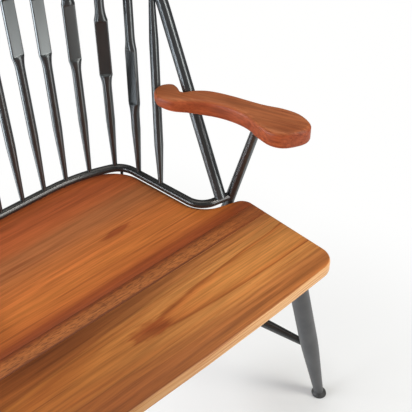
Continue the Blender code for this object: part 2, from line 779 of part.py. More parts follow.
leg_cutters = {}
post_cutters = {}
bolt_cutters = {}
rail_cutter = add_cutter("cut_rail", rail_rod(RAIL_RADIUS + GAP))
hoop_cutter = add_cutter("cut_hoop", skin(hoop_rings(HOOP_RADIUS + GAP)))

screw_places = []
for label, side in SIDES:
    screw_places += [post_strap(side)[2], rail_strap(side)[2]]
    for leg_end in LEG_ENDS:
        screw_places += plate_screw_places(leg_end == "front", side)
screw_cutter = pool_cutters("cut_screws", [screw_hole(place) for place in screw_places], SCREW_SIDES)

strip_front = STRIP_REAR_Y - STRIP_WIDTH
add_board("seat_board_rear", None, STRIP_REAR_Y + GAP / 2, REAR_WOOD)
add_board("seat_board_middle", STRIP_REAR_Y - GAP / 2, strip_front + GAP / 2, STRIP_WOOD)
add_board("seat_board_front", strip_front - GAP / 2, None, FRONT_WOOD)

for label, side in SIDES:
    add_post(label, side)
    add_bolt(label, side)
    add_straps(label, side)
    add_arm(label, side)
    for leg_end in LEG_ENDS:
        add_leg(leg_end, label, side)

tube = hoop_rings(HOOP_RADIUS) + hoop_rings(HOOP_RADIUS - HOOP_WALL)[::-1]
hoop = add_object("back_hoop", skin(tube, closed=True), PAINT)
rail = add_object("seat_rail", rail_rod(RAIL_RADIUS), PAINT)
combine(hoop, rail_cutter)
for label, side in SIDES:
    combine(hoop, post_cutters[side])
    combine(hoop, bolt_cutters[side])
    combine(rail, post_cutters[side])

add_spindle("spindle_middle", 0, 1)
for label, side in SIDES:
    for number in range(1, SPINDLES_PER_SIDE + 1):
        add_spindle(f"spindle_{label}_{number}", number, side)

for label, side in SIDES:
    stretcher = add_object(f"stretcher_{label}", stretcher_rod(*stretcher_ends(side), 0), PAINT)
    for leg_end in LEG_ENDS:
        combine(stretcher, leg_cutters[leg_end, side])
cross_end = (stretcher_ends(1)[0] + stretcher_ends(1)[1]) / 2
cross = add_object("stretcher_cross", stretcher_rod(sided(cross_end, -1), cross_end, 0), PAINT)
for label, side in SIDES:
    grown = stretcher_rod(*stretcher_ends(side), GAP)
    combine(cross, add_cutter(f"cut_stretcher_{label}", grown))
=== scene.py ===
"""Looks of a hoop-back armchair with a board seat and wooden arms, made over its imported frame.

Metres, +Z up, front towards -Y.
"""
from math import atan2, cos, pi, radians, sin, sqrt, tan

import bmesh
import bpy
from mathutils import Matrix, Vector


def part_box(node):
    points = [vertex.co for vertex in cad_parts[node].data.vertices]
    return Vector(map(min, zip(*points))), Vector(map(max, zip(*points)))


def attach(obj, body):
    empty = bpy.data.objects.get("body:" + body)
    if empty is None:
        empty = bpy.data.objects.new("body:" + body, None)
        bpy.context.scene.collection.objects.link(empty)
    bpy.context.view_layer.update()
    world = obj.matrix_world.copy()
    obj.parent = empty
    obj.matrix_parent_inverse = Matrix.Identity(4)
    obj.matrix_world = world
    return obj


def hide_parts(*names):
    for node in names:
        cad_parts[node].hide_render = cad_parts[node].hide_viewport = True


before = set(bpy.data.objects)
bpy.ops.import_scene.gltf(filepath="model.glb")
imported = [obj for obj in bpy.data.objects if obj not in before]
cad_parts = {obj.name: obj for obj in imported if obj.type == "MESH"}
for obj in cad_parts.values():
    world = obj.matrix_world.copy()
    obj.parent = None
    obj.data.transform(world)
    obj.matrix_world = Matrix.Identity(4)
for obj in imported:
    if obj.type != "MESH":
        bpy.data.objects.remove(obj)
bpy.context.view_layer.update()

# Seat, with the corners of its plan as (x, y, radius) from the front round the right side to the back
SEAT_TOP = 0.430
SEAT_THICKNESS = 0.022
SEAT_FRONT = 0.2465
WING_CORNER = (0.2915, -0.030)
THROAT = (0.2103, -0.005)
REAR_CORNER = (0.1905, 0.1815)
REAR_MIDDLE = (0.09525, 0.2195)
SEAT_CORNERS = [
    (0.14575, -0.2450, 2.0), (0.2915, -0.2405, 0.034), (*WING_CORNER, 0.022),
    (*THROAT, 0.050), (*REAR_CORNER, 0.065), (*REAR_MIDDLE, 0.30)]
SEAT_EDGE_RADIUS = 0.004
STRIP_REAR = -0.050
STRIP_FRONT = -0.082
JOINT_GAP = 0.00015
JOINT_ARRIS = 0.0003

# Rail, posts and hoop
RAIL_RADIUS = 0.0072
RAIL_Z = SEAT_TOP + 0.0085
RAIL_SIDE_OUTSET = 0.0014
RAIL_BOW_OUTSET = -0.002
RAIL_MIDDLE_OUTSET = -0.008
RAIL_CORNER_RADIUS = 0.042
RAIL_THROAT_RADIUS = 0.036
RAIL_BOW_RADIUS = 0.30
POST_FOOT_RADIUS = 0.0095
POST_TOP_RADIUS = 0.0080
POST_X = WING_CORNER[0] - 0.0187
POST_FROM_EDGE = 0.0112
HOOP_RADIUS = 0.010
HOOP_FOOT_X = POST_X - 0.0218
HOOP_SETBACK = 0.0026
HOOP_RECLINE = radians(26.6)
HOOP_FLARE = radians(2.3)
HOOP_STRAIGHT = 0.330
HOOP_FOOT_START = 0.004
WING_SLOPE = (WING_CORNER[1] - THROAT[1]) / (WING_CORNER[0] - THROAT[0])

# Spindles
SPINDLES_PER_SIDE = 6
BASE_PITCH = 0.0440
BASE_SPREAD = 0.0000935
TOP_PITCH = 0.0426
TOP_SPREAD = 0.00308
SPINDLE_END = 0.0038
SPINDLE_BODY = 0.0078
SPINDLE_FOOT_SHARE = 0.21
SPINDLE_TOP_TAPER = 0.105
FLAT_DROP = 0.234
FLAT_LENGTH = 0.091
FLAT_HALF_WIDTH = 0.0111
FLAT_HALF_DEPTH = 0.004
FLAT_STEP = 0.003
FLAT_EDGE = 0.0007
FLAT_PRESSED_FROM = 0.3 * FLAT_HALF_DEPTH
FLAT_SHOULDER = 0.024
SHOULDER_STEPS = 6
SHOULDER_SWEEP = 2.2
FACING_REACH = 0.030

# Arms, with their outline as (x, y) from the hoop's axis
ARM_TOP = SEAT_TOP + 0.190
ARM_THICKNESS = 0.0305
ARM_REAR_THICKNESS = 0.020
ARM_TAPER_LENGTH = 0.090
ARM_EDGE_RADIUS = 0.007
ARM_MIDDLE = ARM_TOP - ARM_THICKNESS / 2
POST_TOP = ARM_TOP - 0.015
ARM_OUTLINE = [
    (-0.0530, 0.014), (-0.0445, -0.006), (-0.0235, -0.028), (-0.0040, -0.055), (0.0080, -0.088),
    (0.0110, -0.119), (0.0050, -0.148), (0.0035, -0.175), (0.0130, -0.195), (0.0335, -0.2075),
    (0.0530, -0.2115), (0.0680, -0.2020), (0.0755, -0.174), (0.0690, -0.144), (0.0535, -0.111),
    (0.0365, -0.059), (0.0210, -0.025), (0.0030, -0.006), (-0.0145, 0.004), (-0.0090, 0.021),
    (-0.0090, 0.033), (-0.0200, 0.0425), (-0.0315, 0.0440), (-0.0440, 0.0395), (-0.0520, 0.028)]
POST_IN_ARM = (0.0168, -0.1375)

# Legs, each as (x, y, lean out, lean back) at the seat's underside, with their plates and glides
SEAT_UNDERSIDE = SEAT_TOP - SEAT_THICKNESS
PLATE_GAP = 0.0003
PLATE_TOP = SEAT_UNDERSIDE - PLATE_GAP
PLATE_THICKNESS = 0.003
PLATE_RADIUS = 0.028
PLATE_EDGE = 0.0006
PLATE_SCREW_CIRCLE = 0.0225
PLATE_SCREWS = 3
LEG_TOP = PLATE_TOP - PLATE_THICKNESS
LEG_TOP_RADIUS = 0.0166
LEG_KNEE_RADIUS = 0.0168
LEG_KNEE_Z = 0.165
LEG_KNEE_EASE = 0.030
LEG_FOOT_RADIUS = 0.0093
GLIDE_HEIGHT = 0.012
GLIDE_RIM = 0.007
GLIDE_BEVEL = 0.0015
GLIDE_RADIUS = 0.0142
GLIDE_PLUG_HEIGHT = 0.006
GLIDE_PLUG_RADIUS = LEG_FOOT_RADIUS - 0.002
GLIDE_EDGE = 0.0006
LEGS = {
    "front": (0.2565, -0.1750, tan(radians(13.03)), -tan(radians(2.7))),
    "rear": (0.1440, 0.1150, tan(radians(12.9)), tan(radians(13.5)))}

# Stretchers
STRETCHER_FRONT_Z = 0.162
STRETCHER_REAR_Z = 0.235
STRETCHER_END = 0.0062
STRETCHER_BODY = 0.0095
STRETCHER_TAPER = 0.110
STRETCHER_EASE = 0.020

# Straps, screws and bolts, with the shapes of the last two as (height, radius) from under the head
STRAP_THICKNESS = 0.004
STRAP_WIDTH = 0.020
STRAP_END_RADIUS = STRAP_WIDTH / 2 - 0.0001
STRAP_EDGE = 0.0005
STRAP_MIDDLE = PLATE_TOP - STRAP_THICKNESS / 2
STRAP_UNDERSIDE = PLATE_TOP - STRAP_THICKNESS
POST_STRAP_REACH = 0.070
POST_STRAP_SCREW = 0.054
RAIL_STRAP_REACH = 0.030
RAIL_STRAP_SCREW = 0.026
RAIL_PIN_RADIUS = 0.00275
RAIL_PIN_PLACE = 0.193
SCREW_SHAPE = [
    (-0.0022, 0.0012), (-0.0018, 0.0021), (-0.0011, 0.0028), (-0.0004, 0.0030), (0, 0.0030),
    (0.0002, 0.0019), (0.0120, 0.0019), (0.0155, 0.0006)]
RECESS_Z = -0.0022
RECESS_SIZE = (0.0032, 0.0007, 0.0020)
BOLT_SHAPE = [
    (-0.0335, 0.0025), (-0.0002, 0.0025), (0, 0.0055), (0.0010, 0.0055), (0.0022, 0.0048),
    (0.0030, 0.0037), (0.0035, 0.0026)]
BOLT_HEAD_GAP = 0.0006
SOCKET_RADIUS = 0.0020
SOCKET_FLOOR = 0.0012
SOCKET_CUT = 0.004

# Fineness
ROD_SIDES = 28
RAIL_SIDES = 20
LEG_SIDES = 40
PLATE_SIDES = 48
SCREW_SIDES = 24
SEAT_CORNER_STEPS = 14
ARM_OUTLINE_STEPS = 4
HOOP_STEPS = 72
RAIL_STEP = radians(4)
RAIL_LEAST_STEPS = 6
SMOOTH_ANGLE = radians(35)
SOFTEN_ANGLE = radians(40)
TRIM_ANGLE = radians(25)
NEAR = 1e-5
ARRIS_PICK_DEPTH = 1e-4

SIDES = (("right", 1), ("left", -1))
CHAIR_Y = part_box("seat_board_front")[0].y + SEAT_FRONT


# Modelling by hand

def put_away():
    """Leave edit mode and select nothing."""
    if bpy.context.mode != "OBJECT":
        bpy.ops.object.mode_set(mode="OBJECT")
    bpy.ops.object.select_all(action="DESELECT")


def take(piece, mode="OBJECT"):
    """Make a piece the only one in hand."""
    put_away()
    piece.select_set(True)
    bpy.context.view_layer.objects.active = piece
    bpy.ops.object.mode_set(mode=mode)


def fix_place():
    """Put the place, turn and scale of the piece in hand into its mesh."""
    bpy.ops.object.transform_apply(location=True, rotation=True, scale=True)


def set_down(piece, place, turn=(0, 0, 0)):
    """Turn a piece and move it to its place."""
    take(piece)
    piece.location = place
    piece.rotation_euler = turn
    fix_place()


def turn_outwards():
    """Select all of the open mesh and turn its faces outwards."""
    bpy.ops.mesh.select_all(action="SELECT")
    bpy.ops.mesh.normals_make_consistent(inside=False)


def start_ring(name, sides, radius, place=(0, 0, 0), turn=(0, 0, 0), fill="NGON"):
    """A disc or a ring to extrude from, open in edit mode with all of it selected."""
    put_away()
    bpy.ops.mesh.primitive_circle_add(
        vertices=sides, radius=radius, fill_type=fill, location=place, rotation=turn)
    piece = bpy.context.object
    piece.name = name
    fix_place()
    bpy.ops.object.mode_set(mode="EDIT")
    bpy.ops.mesh.select_all(action="SELECT")
    return piece


def start_plan(name, points, z):
    """A flat face with (x, y) corners, open in edit mode with all of it selected."""
    piece = start_ring(name, len(points), 1)
    mesh = bmesh.from_edit_mesh(piece.data)
    for vert, (x, y) in zip(mesh.verts, points):
        vert.co = (x, y, z)
    bmesh.update_edit_mesh(piece.data)
    return piece


def pick(piece, kind, test):
    """Select the vertices or edges that pass a test."""
    bpy.ops.mesh.select_mode(type={"verts": "VERT", "edges": "EDGE"}[kind])
    bpy.ops.mesh.select_all(action="DESELECT")
    mesh = bmesh.from_edit_mesh(piece.data)
    for part in getattr(mesh, kind):
        if test(part):
            part.select_set(True)
    bmesh.update_edit_mesh(piece.data)


def pull(step):
    """Extrude what is selected."""
    bpy.ops.mesh.extrude_region_move(TRANSFORM_OT_translate={"value": Vector(step)})


def scale_about(centre, factors):
    """Scale what is selected about a point."""
    bpy.ops.transform.resize(value=factors, center_override=centre)


def rounds(sizes):
    """Round stations from (place, radius)."""
    return [(place, radius, radius) for place, radius in sizes]


def upright(stations):
    """Stations on the Z axis from (height, half width, half depth)."""
    return [(Vector((0, 0, z)), wide, deep) for z, wide, deep in stations]


def draw_rod(name, stations, sides):
    """A rod of level rings through (centre, half width, half depth) stations."""
    centre, wide, deep = stations[0]
    piece = start_ring(name, sides, wide, centre)
    for point, half_width, half_depth in stations[1:]:
        pull(Vector(point) - Vector(centre))
        scale_about(point, (half_width / wide, half_depth / deep, 1))
        centre, wide, deep = point, half_width, half_depth
    turn_outwards()
    return piece


def ease_ring(piece, z, reach, segments):
    """Round off the ring of edges at height Z."""
    pick(piece, "edges", lambda e: all(abs(v.co.z - z) < NEAR for v in e.verts))
    bpy.ops.mesh.bevel(offset=reach, segments=segments, affect="EDGES")


def lay_along(piece, foot, top, facing):
    """Set a piece made up the Z axis along a line, its X side facing a direction."""
    axis = (top - foot).normalized()
    across = (facing - axis * facing.dot(axis)).normalized()
    place = Matrix((across, axis.cross(across), axis)).transposed().to_4x4()
    place.translation = foot
    take(piece)
    piece.matrix_world = place
    fix_place()


def modify(piece, kind, **settings):
    """Add a modifier and apply it."""
    take(piece)
    modifier = piece.modifiers.new(kind, kind)
    for name, value in settings.items():
        setattr(modifier, name, value)
    bpy.ops.object.modifier_apply(modifier=modifier.name)


def soften(piece, width, segments):
    """Round the sharp edges, and let the flat faces keep their shading."""
    modify(
        piece, "BEVEL", width=width, segments=segments, limit_method="ANGLE",
        angle_limit=SOFTEN_ANGLE, use_clamp_overlap=False)
    modify(piece, "WEIGHTED_NORMAL", keep_sharp=True)


def trim(piece, width):
    """Take the sharp edges off a turned piece."""
    modify(piece, "BEVEL", width=width, segments=2, limit_method="ANGLE", angle_limit=TRIM_ANGLE)


def cut_out(piece, tool):
    """Cut a tool's shape out of a piece, and throw the tool away."""
    modify(piece, "BOOLEAN", operation="DIFFERENCE", object=tool, solver="EXACT")
    bpy.data.objects.remove(tool)


def copy_piece(piece, name):
    """A copy with its own mesh."""
    made = piece.copy()
    made.data = piece.data.copy()
    made.name = name
    bpy.context.scene.collection.objects.link(made)
    return made


def settle(piece, node, material):
    """Finish a piece: its shading, its material and the node that it stands for."""
    take(piece)
    bpy.ops.object.shade_smooth_by_angle(angle=SMOOTH_ANGLE)
    piece.name = f"{node}_made"
    piece.data.materials.clear()
    piece.data.materials.append(material)
    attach(piece, "root")
    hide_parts(node)


# Courses of the bent and leaning parts

def sided(point, side):
    """A point on the right side, or its mirror image on the left."""
    return Vector((point[0] * side, *point[1:]))


def course(corners):
    """Runs and arcs through (x, y, radius) corners, as (start, end, centre, turn)."""
    parts = []
    start = Vector(corners[0][:2])
    for before, corner, after in zip(corners, corners[1:], corners[2:]):
        point = Vector(corner[:2])
        arrive = (point - Vector(before[:2])).normalized()
        leave = (Vector(after[:2]) - point).normalized()
        turn = atan2(arrive.cross(leave), arrive.dot(leave))
        reach = corner[2] * tan(abs(turn) / 2)
        begin = point - arrive * reach
        end = point + leave * reach
        left = 1 if turn > 0 else -1
        centre = begin + Vector((-arrive.y, arrive.x)) * (corner[2] * left)
        parts.append((start, begin, None, 0))
        parts.append((begin, end, centre, turn))
        start = end
    parts.append((start, Vector(corners[-1][:2]), None, 0))
    return parts


def turned(vector, angle):
    """A plan vector turned anticlockwise."""
    return Vector((
        vector.x * cos(angle) - vector.y * sin(angle),
        vector.x * sin(angle) + vector.y * cos(angle)))


def along(parts, distance):
    """The point and the direction at a distance along a course."""
    for start, end, centre, turn in parts:
        length = (end - start).length if centre is None else (start - centre).length * abs(turn)
        if distance <= length:
            break
        distance -= length
    if centre is None:
        direction = (end - start).normalized()
        return start + direction * distance, direction
    spoke = turned(start - centre, turn * distance / length)
    direction = turned(spoke, pi / 2 if turn > 0 else -pi / 2).normalized()
    return centre + spoke, direction


def offset_line(start, end, distance):
    """The line from start to end moved to its left: a point and a direction."""
    direction = (Vector(end) - Vector(start)).normalized()
    return Vector(start) + Vector((-direction.y, direction.x)) * distance, direction


def meet(line_a, line_b):
    """Where two lines, each a point and a direction, cross."""
    (a, u), (b, v) = line_a, line_b
    return a + u * ((b - a).cross(v) / u.cross(v))


def wing_edge(x):
    """The back edge of the right wing at X, before the chair is centred."""
    return THROAT[1] + WING_SLOPE * (x - THROAT[0])


def hoop_point(x, climb):
    """A point in the hoop's leaning plane, by its X and its distance up the slope."""
    foot_y = CHAIR_Y + wing_edge(HOOP_FOOT_X) + RAIL_SIDE_OUTSET + HOOP_SETBACK
    return Vector((x, foot_y + climb * sin(HOOP_RECLINE), RAIL_Z + climb * cos(HOOP_RECLINE)))


def hoop_side(climb):
    """The right side of the hoop at a distance up the slope."""
    return hoop_point(HOOP_FOOT_X + climb * tan(HOOP_FLARE), climb)


def hoop_bend():
    """The hoop's bend: its radius, and how far up the slope its centre lies."""
    radius = hoop_side(HOOP_STRAIGHT).x / cos(HOOP_FLARE)
    return radius, HOOP_STRAIGHT + radius * sin(HOOP_FLARE)


def hoop_at(arc):
    """The right half of the hoop at a distance round from its top."""
    radius, centre = hoop_bend()
    past = arc - radius * (pi / 2 + HOOP_FLARE)
    if past > 0:
        return hoop_side(HOOP_STRAIGHT - past * cos(HOOP_FLARE))
    return hoop_point(radius * sin(arc / radius), centre + radius * cos(arc / radius))


def arm_origin():
    """The hoop's axis at the right arm's mid height."""
    return hoop_side((ARM_MIDDLE - RAIL_Z) / cos(HOOP_RECLINE))


def post_point(z):
    """The right arm post's axis at height Z."""
    foot_y = CHAIR_Y + wing_edge(POST_X) + POST_FROM_EDGE * sqrt(1 + WING_SLOPE ** 2)
    foot = Vector((POST_X, foot_y, SEAT_TOP))
    arm = arm_origin()
    top = Vector((arm.x + POST_IN_ARM[0], arm.y + POST_IN_ARM[1], POST_TOP))
    return foot + (top - foot) * ((z - SEAT_TOP) / (POST_TOP - SEAT_TOP))


def rail_course():
    """The right half of the rail, from the middle of the back to the post."""
    shift = Vector((0, CHAIR_Y))
    wing, throat, rear, middle = (
        Vector(p) + shift for p in (WING_CORNER, THROAT, REAR_CORNER, REAR_MIDDLE))
    back_line = offset_line((0, middle.y), middle, RAIL_MIDDLE_OUTSET)
    bow_line = offset_line(middle, rear, RAIL_BOW_OUTSET)
    side_line = offset_line(rear, throat, RAIL_SIDE_OUTSET)
    wing_line = offset_line(throat, wing, RAIL_SIDE_OUTSET)
    end = post_point(RAIL_Z)
    return course([
        (0, back_line[0].y, 0),
        (*meet(back_line, bow_line), RAIL_BOW_RADIUS),
        (*meet(bow_line, side_line), RAIL_CORNER_RADIUS),
        (*meet(side_line, wing_line), RAIL_THROAT_RADIUS),
        (end.x, end.y, 0)])


def leg_point(end, z):
    """A right leg's axis at height Z."""
    x, y, lean_out, lean_back = LEGS[end]
    drop = SEAT_UNDERSIDE - z
    return Vector((x + lean_out * drop, CHAIR_Y + y + lean_back * drop, z))


# Seat

def corner_reach(before, corner, after):
    """How far from a corner its arc begins."""
    arrive = Vector(corner[:2]) - Vector(before[:2])
    leave = Vector(after[:2]) - Vector(corner[:2])
    return corner[2] * tan(arrive.angle(leave) / 2)


def make_seat_blank():
    """The whole seat in one piece: its plan drawn, its corners rounded, then thickened."""
    right = [(x, y + CHAIR_Y, r) for x, y, r in SEAT_CORNERS]
    front = (0, CHAIR_Y - SEAT_FRONT, 0)
    plan = [front] + right + [(-x, y, r) for x, y, r in reversed(right)]
    blank = start_plan("seat_blank", [corner[:2] for corner in plan], SEAT_TOP)
    for before, corner, after in zip(plan, right, plan[2:]):
        spots = [Vector((x, corner[1], SEAT_TOP)) for x in (corner[0], -corner[0])]
        pick(blank, "verts", lambda v: min((v.co - s).length for s in spots) < NEAR)
        reach = corner_reach(before, corner, after)
        bpy.ops.mesh.bevel(offset=reach, segments=SEAT_CORNER_STEPS, affect="VERTICES", profile=0.5)
    bpy.ops.mesh.select_all(action="SELECT")
    pull((0, 0, -SEAT_THICKNESS))
    turn_outwards()
    soften(blank, SEAT_EDGE_RADIUS, 5)
    return blank


def cut_board(blank, name, rear, front):
    """One board: a copy of the seat cut along its glue lines, each with a fine arris."""
    board = copy_piece(blank, name)
    take(board, "EDIT")
    for line, outwards in ((rear, 1), (front, -1)):
        if line is not None:
            place = line + CHAIR_Y
            bpy.ops.mesh.select_all(action="SELECT")
            bpy.ops.mesh.bisect(
                plane_co=(0, place, 0), plane_no=(0, outwards, 0), use_fill=True, clear_outer=True)
            pick(board, "edges", lambda e: all(
                abs(v.co.y - place) < NEAR and v.co.z > SEAT_TOP - ARRIS_PICK_DEPTH for v in e.verts))
            bpy.ops.mesh.bevel(offset=JOINT_ARRIS, segments=2, affect="EDGES")
    return board


# Arms

def smooth_loop(points, steps):
    """A closed curve through points, rounded between them."""
    count = len(points)
    path = []
    for i in range(count):
        p0, p1, p2, p3 = (points[(i + k) % count] for k in (-1, 0, 1, 2))
        for s in range(steps):
            t = s / steps
            bend = 2 * p0 - 5 * p1 + 4 * p2 - p3
            twist = 3 * p1 - p0 - 3 * p2 + p3
            path.append((2 * p1 + (p2 - p0) * t + bend * t ** 2 + twist * t ** 3) / 2)
    return path


def make_arm(side):
    """An arm: its plan drawn and thickened, its edges well rounded, thinned towards the rear."""
    origin = arm_origin()
    outline = smooth_loop([origin.xy + Vector(p) for p in ARM_OUTLINE], ARM_OUTLINE_STEPS)
    arm = start_plan("arm", [sided(p, side) for p in outline], ARM_TOP)
    pull((0, 0, -ARM_THICKNESS))
    turn_outwards()
    soften(arm, ARM_EDGE_RADIUS, 7)
    start = max(p.y for p in outline) - ARM_TAPER_LENGTH
    slope = (ARM_THICKNESS - ARM_REAR_THICKNESS) / ARM_TAPER_LENGTH
    take(arm, "EDIT")
    bpy.ops.mesh.select_all(action="SELECT")
    bpy.ops.mesh.bisect(plane_co=(0, start, 0), plane_no=(0, 1, 0))
    mesh = bmesh.from_edit_mesh(arm.data)
    for vert in mesh.verts:
        if vert.co.z < ARM_MIDDLE:
            vert.co.z += slope * max(0, vert.co.y - start)
    bmesh.update_edit_mesh(arm.data)
    return arm


# Painted steel

def close_ends():
    """Close the open ends of a tube and turn its faces outwards."""
    bpy.ops.mesh.select_mode(type="EDGE")
    bpy.ops.mesh.select_all(action="DESELECT")
    bpy.ops.mesh.select_non_manifold()
    bpy.ops.mesh.edge_face_add()
    turn_outwards()


def make_hoop():
    """The hoop: a ring drawn up the left side, spun over the top and drawn down the right."""
    centre = hoop_bend()[1]
    foot_x = HOOP_FOOT_X + HOOP_FOOT_START * tan(HOOP_FLARE)
    bend_x = HOOP_FOOT_X + HOOP_STRAIGHT * tan(HOOP_FLARE)
    hoop = start_ring(
        "hoop", ROD_SIDES, HOOP_RADIUS, (-foot_x, 0, HOOP_FOOT_START), (0, -HOOP_FLARE, 0), "NOTHING")
    pull((foot_x - bend_x, 0, HOOP_STRAIGHT - HOOP_FOOT_START))
    bpy.ops.mesh.spin(
        steps=HOOP_STEPS, angle=pi + 2 * HOOP_FLARE, center=(0, 0, centre), axis=(0, -1, 0))
    pull((foot_x - bend_x, 0, HOOP_FOOT_START - HOOP_STRAIGHT))
    close_ends()
    set_down(hoop, hoop_point(0, 0), (-HOOP_RECLINE, 0, 0))
    return hoop


def make_rail():
    """The rail: half of it drawn and spun along its course, then mirrored."""
    parts = rail_course()
    start = (*parts[0][0], RAIL_Z)
    rail = start_ring("rail", RAIL_SIDES, RAIL_RADIUS, start, (0, pi / 2, 0), "NOTHING")
    for begin, end, centre, turn in parts:
        if centre is None:
            pull((*(end - begin), 0))
        else:
            steps = max(RAIL_LEAST_STEPS, round(abs(turn) / RAIL_STEP))
            bpy.ops.mesh.spin(steps=steps, angle=turn, center=(*centre, RAIL_Z), axis=(0, 0, -1))
    modify(rail, "MIRROR", use_axis=(True, False, False), use_clip=True, merge_threshold=0.0001)
    take(rail, "EDIT")
    close_ends()
    return rail


def spindle_stations(length):
    """A spindle's (height, half width, half depth) stations, and where it is pressed flat."""
    foot_taper = SPINDLE_FOOT_SHARE * length
    lower = rounds([(0, SPINDLE_END), (foot_taper, SPINDLE_BODY)])
    upper = rounds([(length - SPINDLE_TOP_TAPER, SPINDLE_BODY), (length, SPINDLE_END)])
    flat_top = length - FLAT_DROP + FLAT_LENGTH / 2
    flat_foot = flat_top - FLAT_LENGTH
    if flat_foot < foot_taper + FLAT_STEP + FLAT_SHOULDER:
        return lower + upper, None
    below = []
    for i in range(SHOULDER_STEPS + 1):
        t = i / SHOULDER_STEPS
        half_width = SPINDLE_BODY + (FLAT_HALF_WIDTH - SPINDLE_BODY) * t ** SHOULDER_SWEEP
        below.append((flat_foot - FLAT_STEP - FLAT_SHOULDER * (1 - t), half_width, SPINDLE_BODY))
    flat = [(z, FLAT_HALF_WIDTH, FLAT_HALF_DEPTH) for z in (flat_foot, flat_top)]
    above = [(flat_foot + flat_top - z, wide, deep) for z, wide, deep in reversed(below)]
    return lower + below + flat + above + upper, (flat_foot, flat_top)


def make_spindle(count, side):
    """A spindle: drawn up the Z axis, pressed flat, then set between rail and hoop."""
    place = BASE_PITCH * count + BASE_SPREAD * count ** 3
    foot, before, after = (
        along(rail_course(), place + step)[0] for step in (0, -FACING_REACH, FACING_REACH))
    direction = (after - before).normalized()
    foot = sided((*foot, RAIL_Z), side)
    top = sided(hoop_at(TOP_PITCH * count + TOP_SPREAD * count ** 2), side)
    stations, flat = spindle_stations((top - foot).length)
    spindle = draw_rod("spindle", upright(stations), ROD_SIDES)
    if flat:
        for face in (1, -1):
            pick(spindle, "verts", lambda v: (
                flat[0] - NEAR < v.co.z < flat[1] + NEAR and v.co.y * face > FLAT_PRESSED_FROM))
            scale_about((0, FLAT_HALF_DEPTH * face, 0), (1, 0, 1))
        trim(spindle, FLAT_EDGE)
    lay_along(spindle, foot, top, Vector((direction.x, direction.y * side, 0)))
    return spindle


def make_post(side):
    """An arm post from its strap up into the arm."""
    sizes = ((SEAT_UNDERSIDE, POST_FOOT_RADIUS), (POST_TOP, POST_TOP_RADIUS))
    return draw_rod("post", rounds((sided(post_point(z), side), r) for z, r in sizes), ROD_SIDES)


def draw_on_leg(name, end, side, sizes):
    """A round piece on a leg's axis through (height, radius) sizes."""
    return draw_rod(name, rounds((sided(leg_point(end, z), side), r) for z, r in sizes), LEG_SIDES)


def make_leg(end, side):
    """A leg: drawn up from its foot, with a soft knee where the taper begins."""
    leg = draw_on_leg("leg", end, side, (
        (GLIDE_HEIGHT, LEG_FOOT_RADIUS), (LEG_KNEE_Z, LEG_KNEE_RADIUS), (LEG_TOP, LEG_TOP_RADIUS)))
    ease_ring(leg, LEG_KNEE_Z, LEG_KNEE_EASE, 6)
    return leg


def make_glide(end, side):
    """A glide: a rubber foot with a flared rim."""
    glide = draw_on_leg("glide", end, side, (
        (0, GLIDE_RADIUS - GLIDE_BEVEL), (GLIDE_BEVEL, GLIDE_RADIUS), (GLIDE_RIM, GLIDE_RADIUS),
        (GLIDE_HEIGHT, LEG_FOOT_RADIUS), (GLIDE_HEIGHT + GLIDE_PLUG_HEIGHT, GLIDE_PLUG_RADIUS)))
    trim(glide, GLIDE_EDGE)
    return glide


def make_stretcher(start, end):
    """A stretcher, thin at both ends and fuller between."""
    length = (end - start).length
    sizes = [(0, STRETCHER_END), (STRETCHER_TAPER, STRETCHER_BODY)]
    sizes += [(length - z, r) for z, r in reversed(sizes)]
    rod = draw_rod("stretcher", upright(rounds(sizes)), ROD_SIDES)
    for height in (STRETCHER_TAPER, length - STRETCHER_TAPER):
        ease_ring(rod, height, STRETCHER_EASE, 4)
    lay_along(rod, start, end, Vector((0, 0, 1)))
    return rod


def stretcher_ends(side):
    """Where a side stretcher meets the axes of its legs."""
    front = sided(leg_point("front", STRETCHER_FRONT_Z), side)
    return front, sided(leg_point("rear", STRETCHER_REAR_Z), side)


# Under the seat

def make_plate(end, side):
    """The round plate on top of a leg."""
    plate = start_ring("plate", PLATE_SIDES, PLATE_RADIUS, sided(leg_point(end, LEG_TOP), side))
    pull((0, 0, PLATE_THICKNESS))
    turn_outwards()
    soften(plate, PLATE_EDGE, 2)
    return plate


def make_strap(start, end, pin):
    """A strap with round ends, and the pin that rises from it to the rail."""
    heading = (end - start).normalized()
    length = (end - start).length + STRAP_WIDTH
    put_away()
    bpy.ops.mesh.primitive_cube_add(size=1, scale=(length, STRAP_WIDTH, STRAP_THICKNESS))
    strap = bpy.context.object
    fix_place()
    bpy.ops.object.mode_set(mode="EDIT")
    pick(strap, "edges", lambda e: abs(e.verts[0].co.z - e.verts[1].co.z) > STRAP_THICKNESS / 2)
    bpy.ops.mesh.bevel(offset=STRAP_END_RADIUS, segments=10, affect="EDGES")
    soften(strap, STRAP_EDGE, 2)
    set_down(strap, (*((start + end) / 2), STRAP_MIDDLE), (0, 0, atan2(heading.y, heading.x)))
    if pin:
        rod = start_ring("pin", ROD_SIDES, RAIL_PIN_RADIUS, (*start, STRAP_MIDDLE))
        pull((0, 0, RAIL_Z - RAIL_RADIUS / 2 - STRAP_MIDDLE))
        turn_outwards()
        take(strap)
        rod.select_set(True)
        bpy.ops.object.join()
    return strap


def make_screw():
    """A pan-head screw with a cross recess, its head down, the underside of the head at the origin."""
    screw = draw_rod("screw", upright(rounds(SCREW_SHAPE)), SCREW_SIDES)
    for turn in (0, pi / 2):
        put_away()
        bpy.ops.mesh.primitive_cube_add(
            size=1, location=(0, 0, RECESS_Z), rotation=(0, 0, turn), scale=RECESS_SIZE)
        cut_out(screw, bpy.context.object)
    return screw


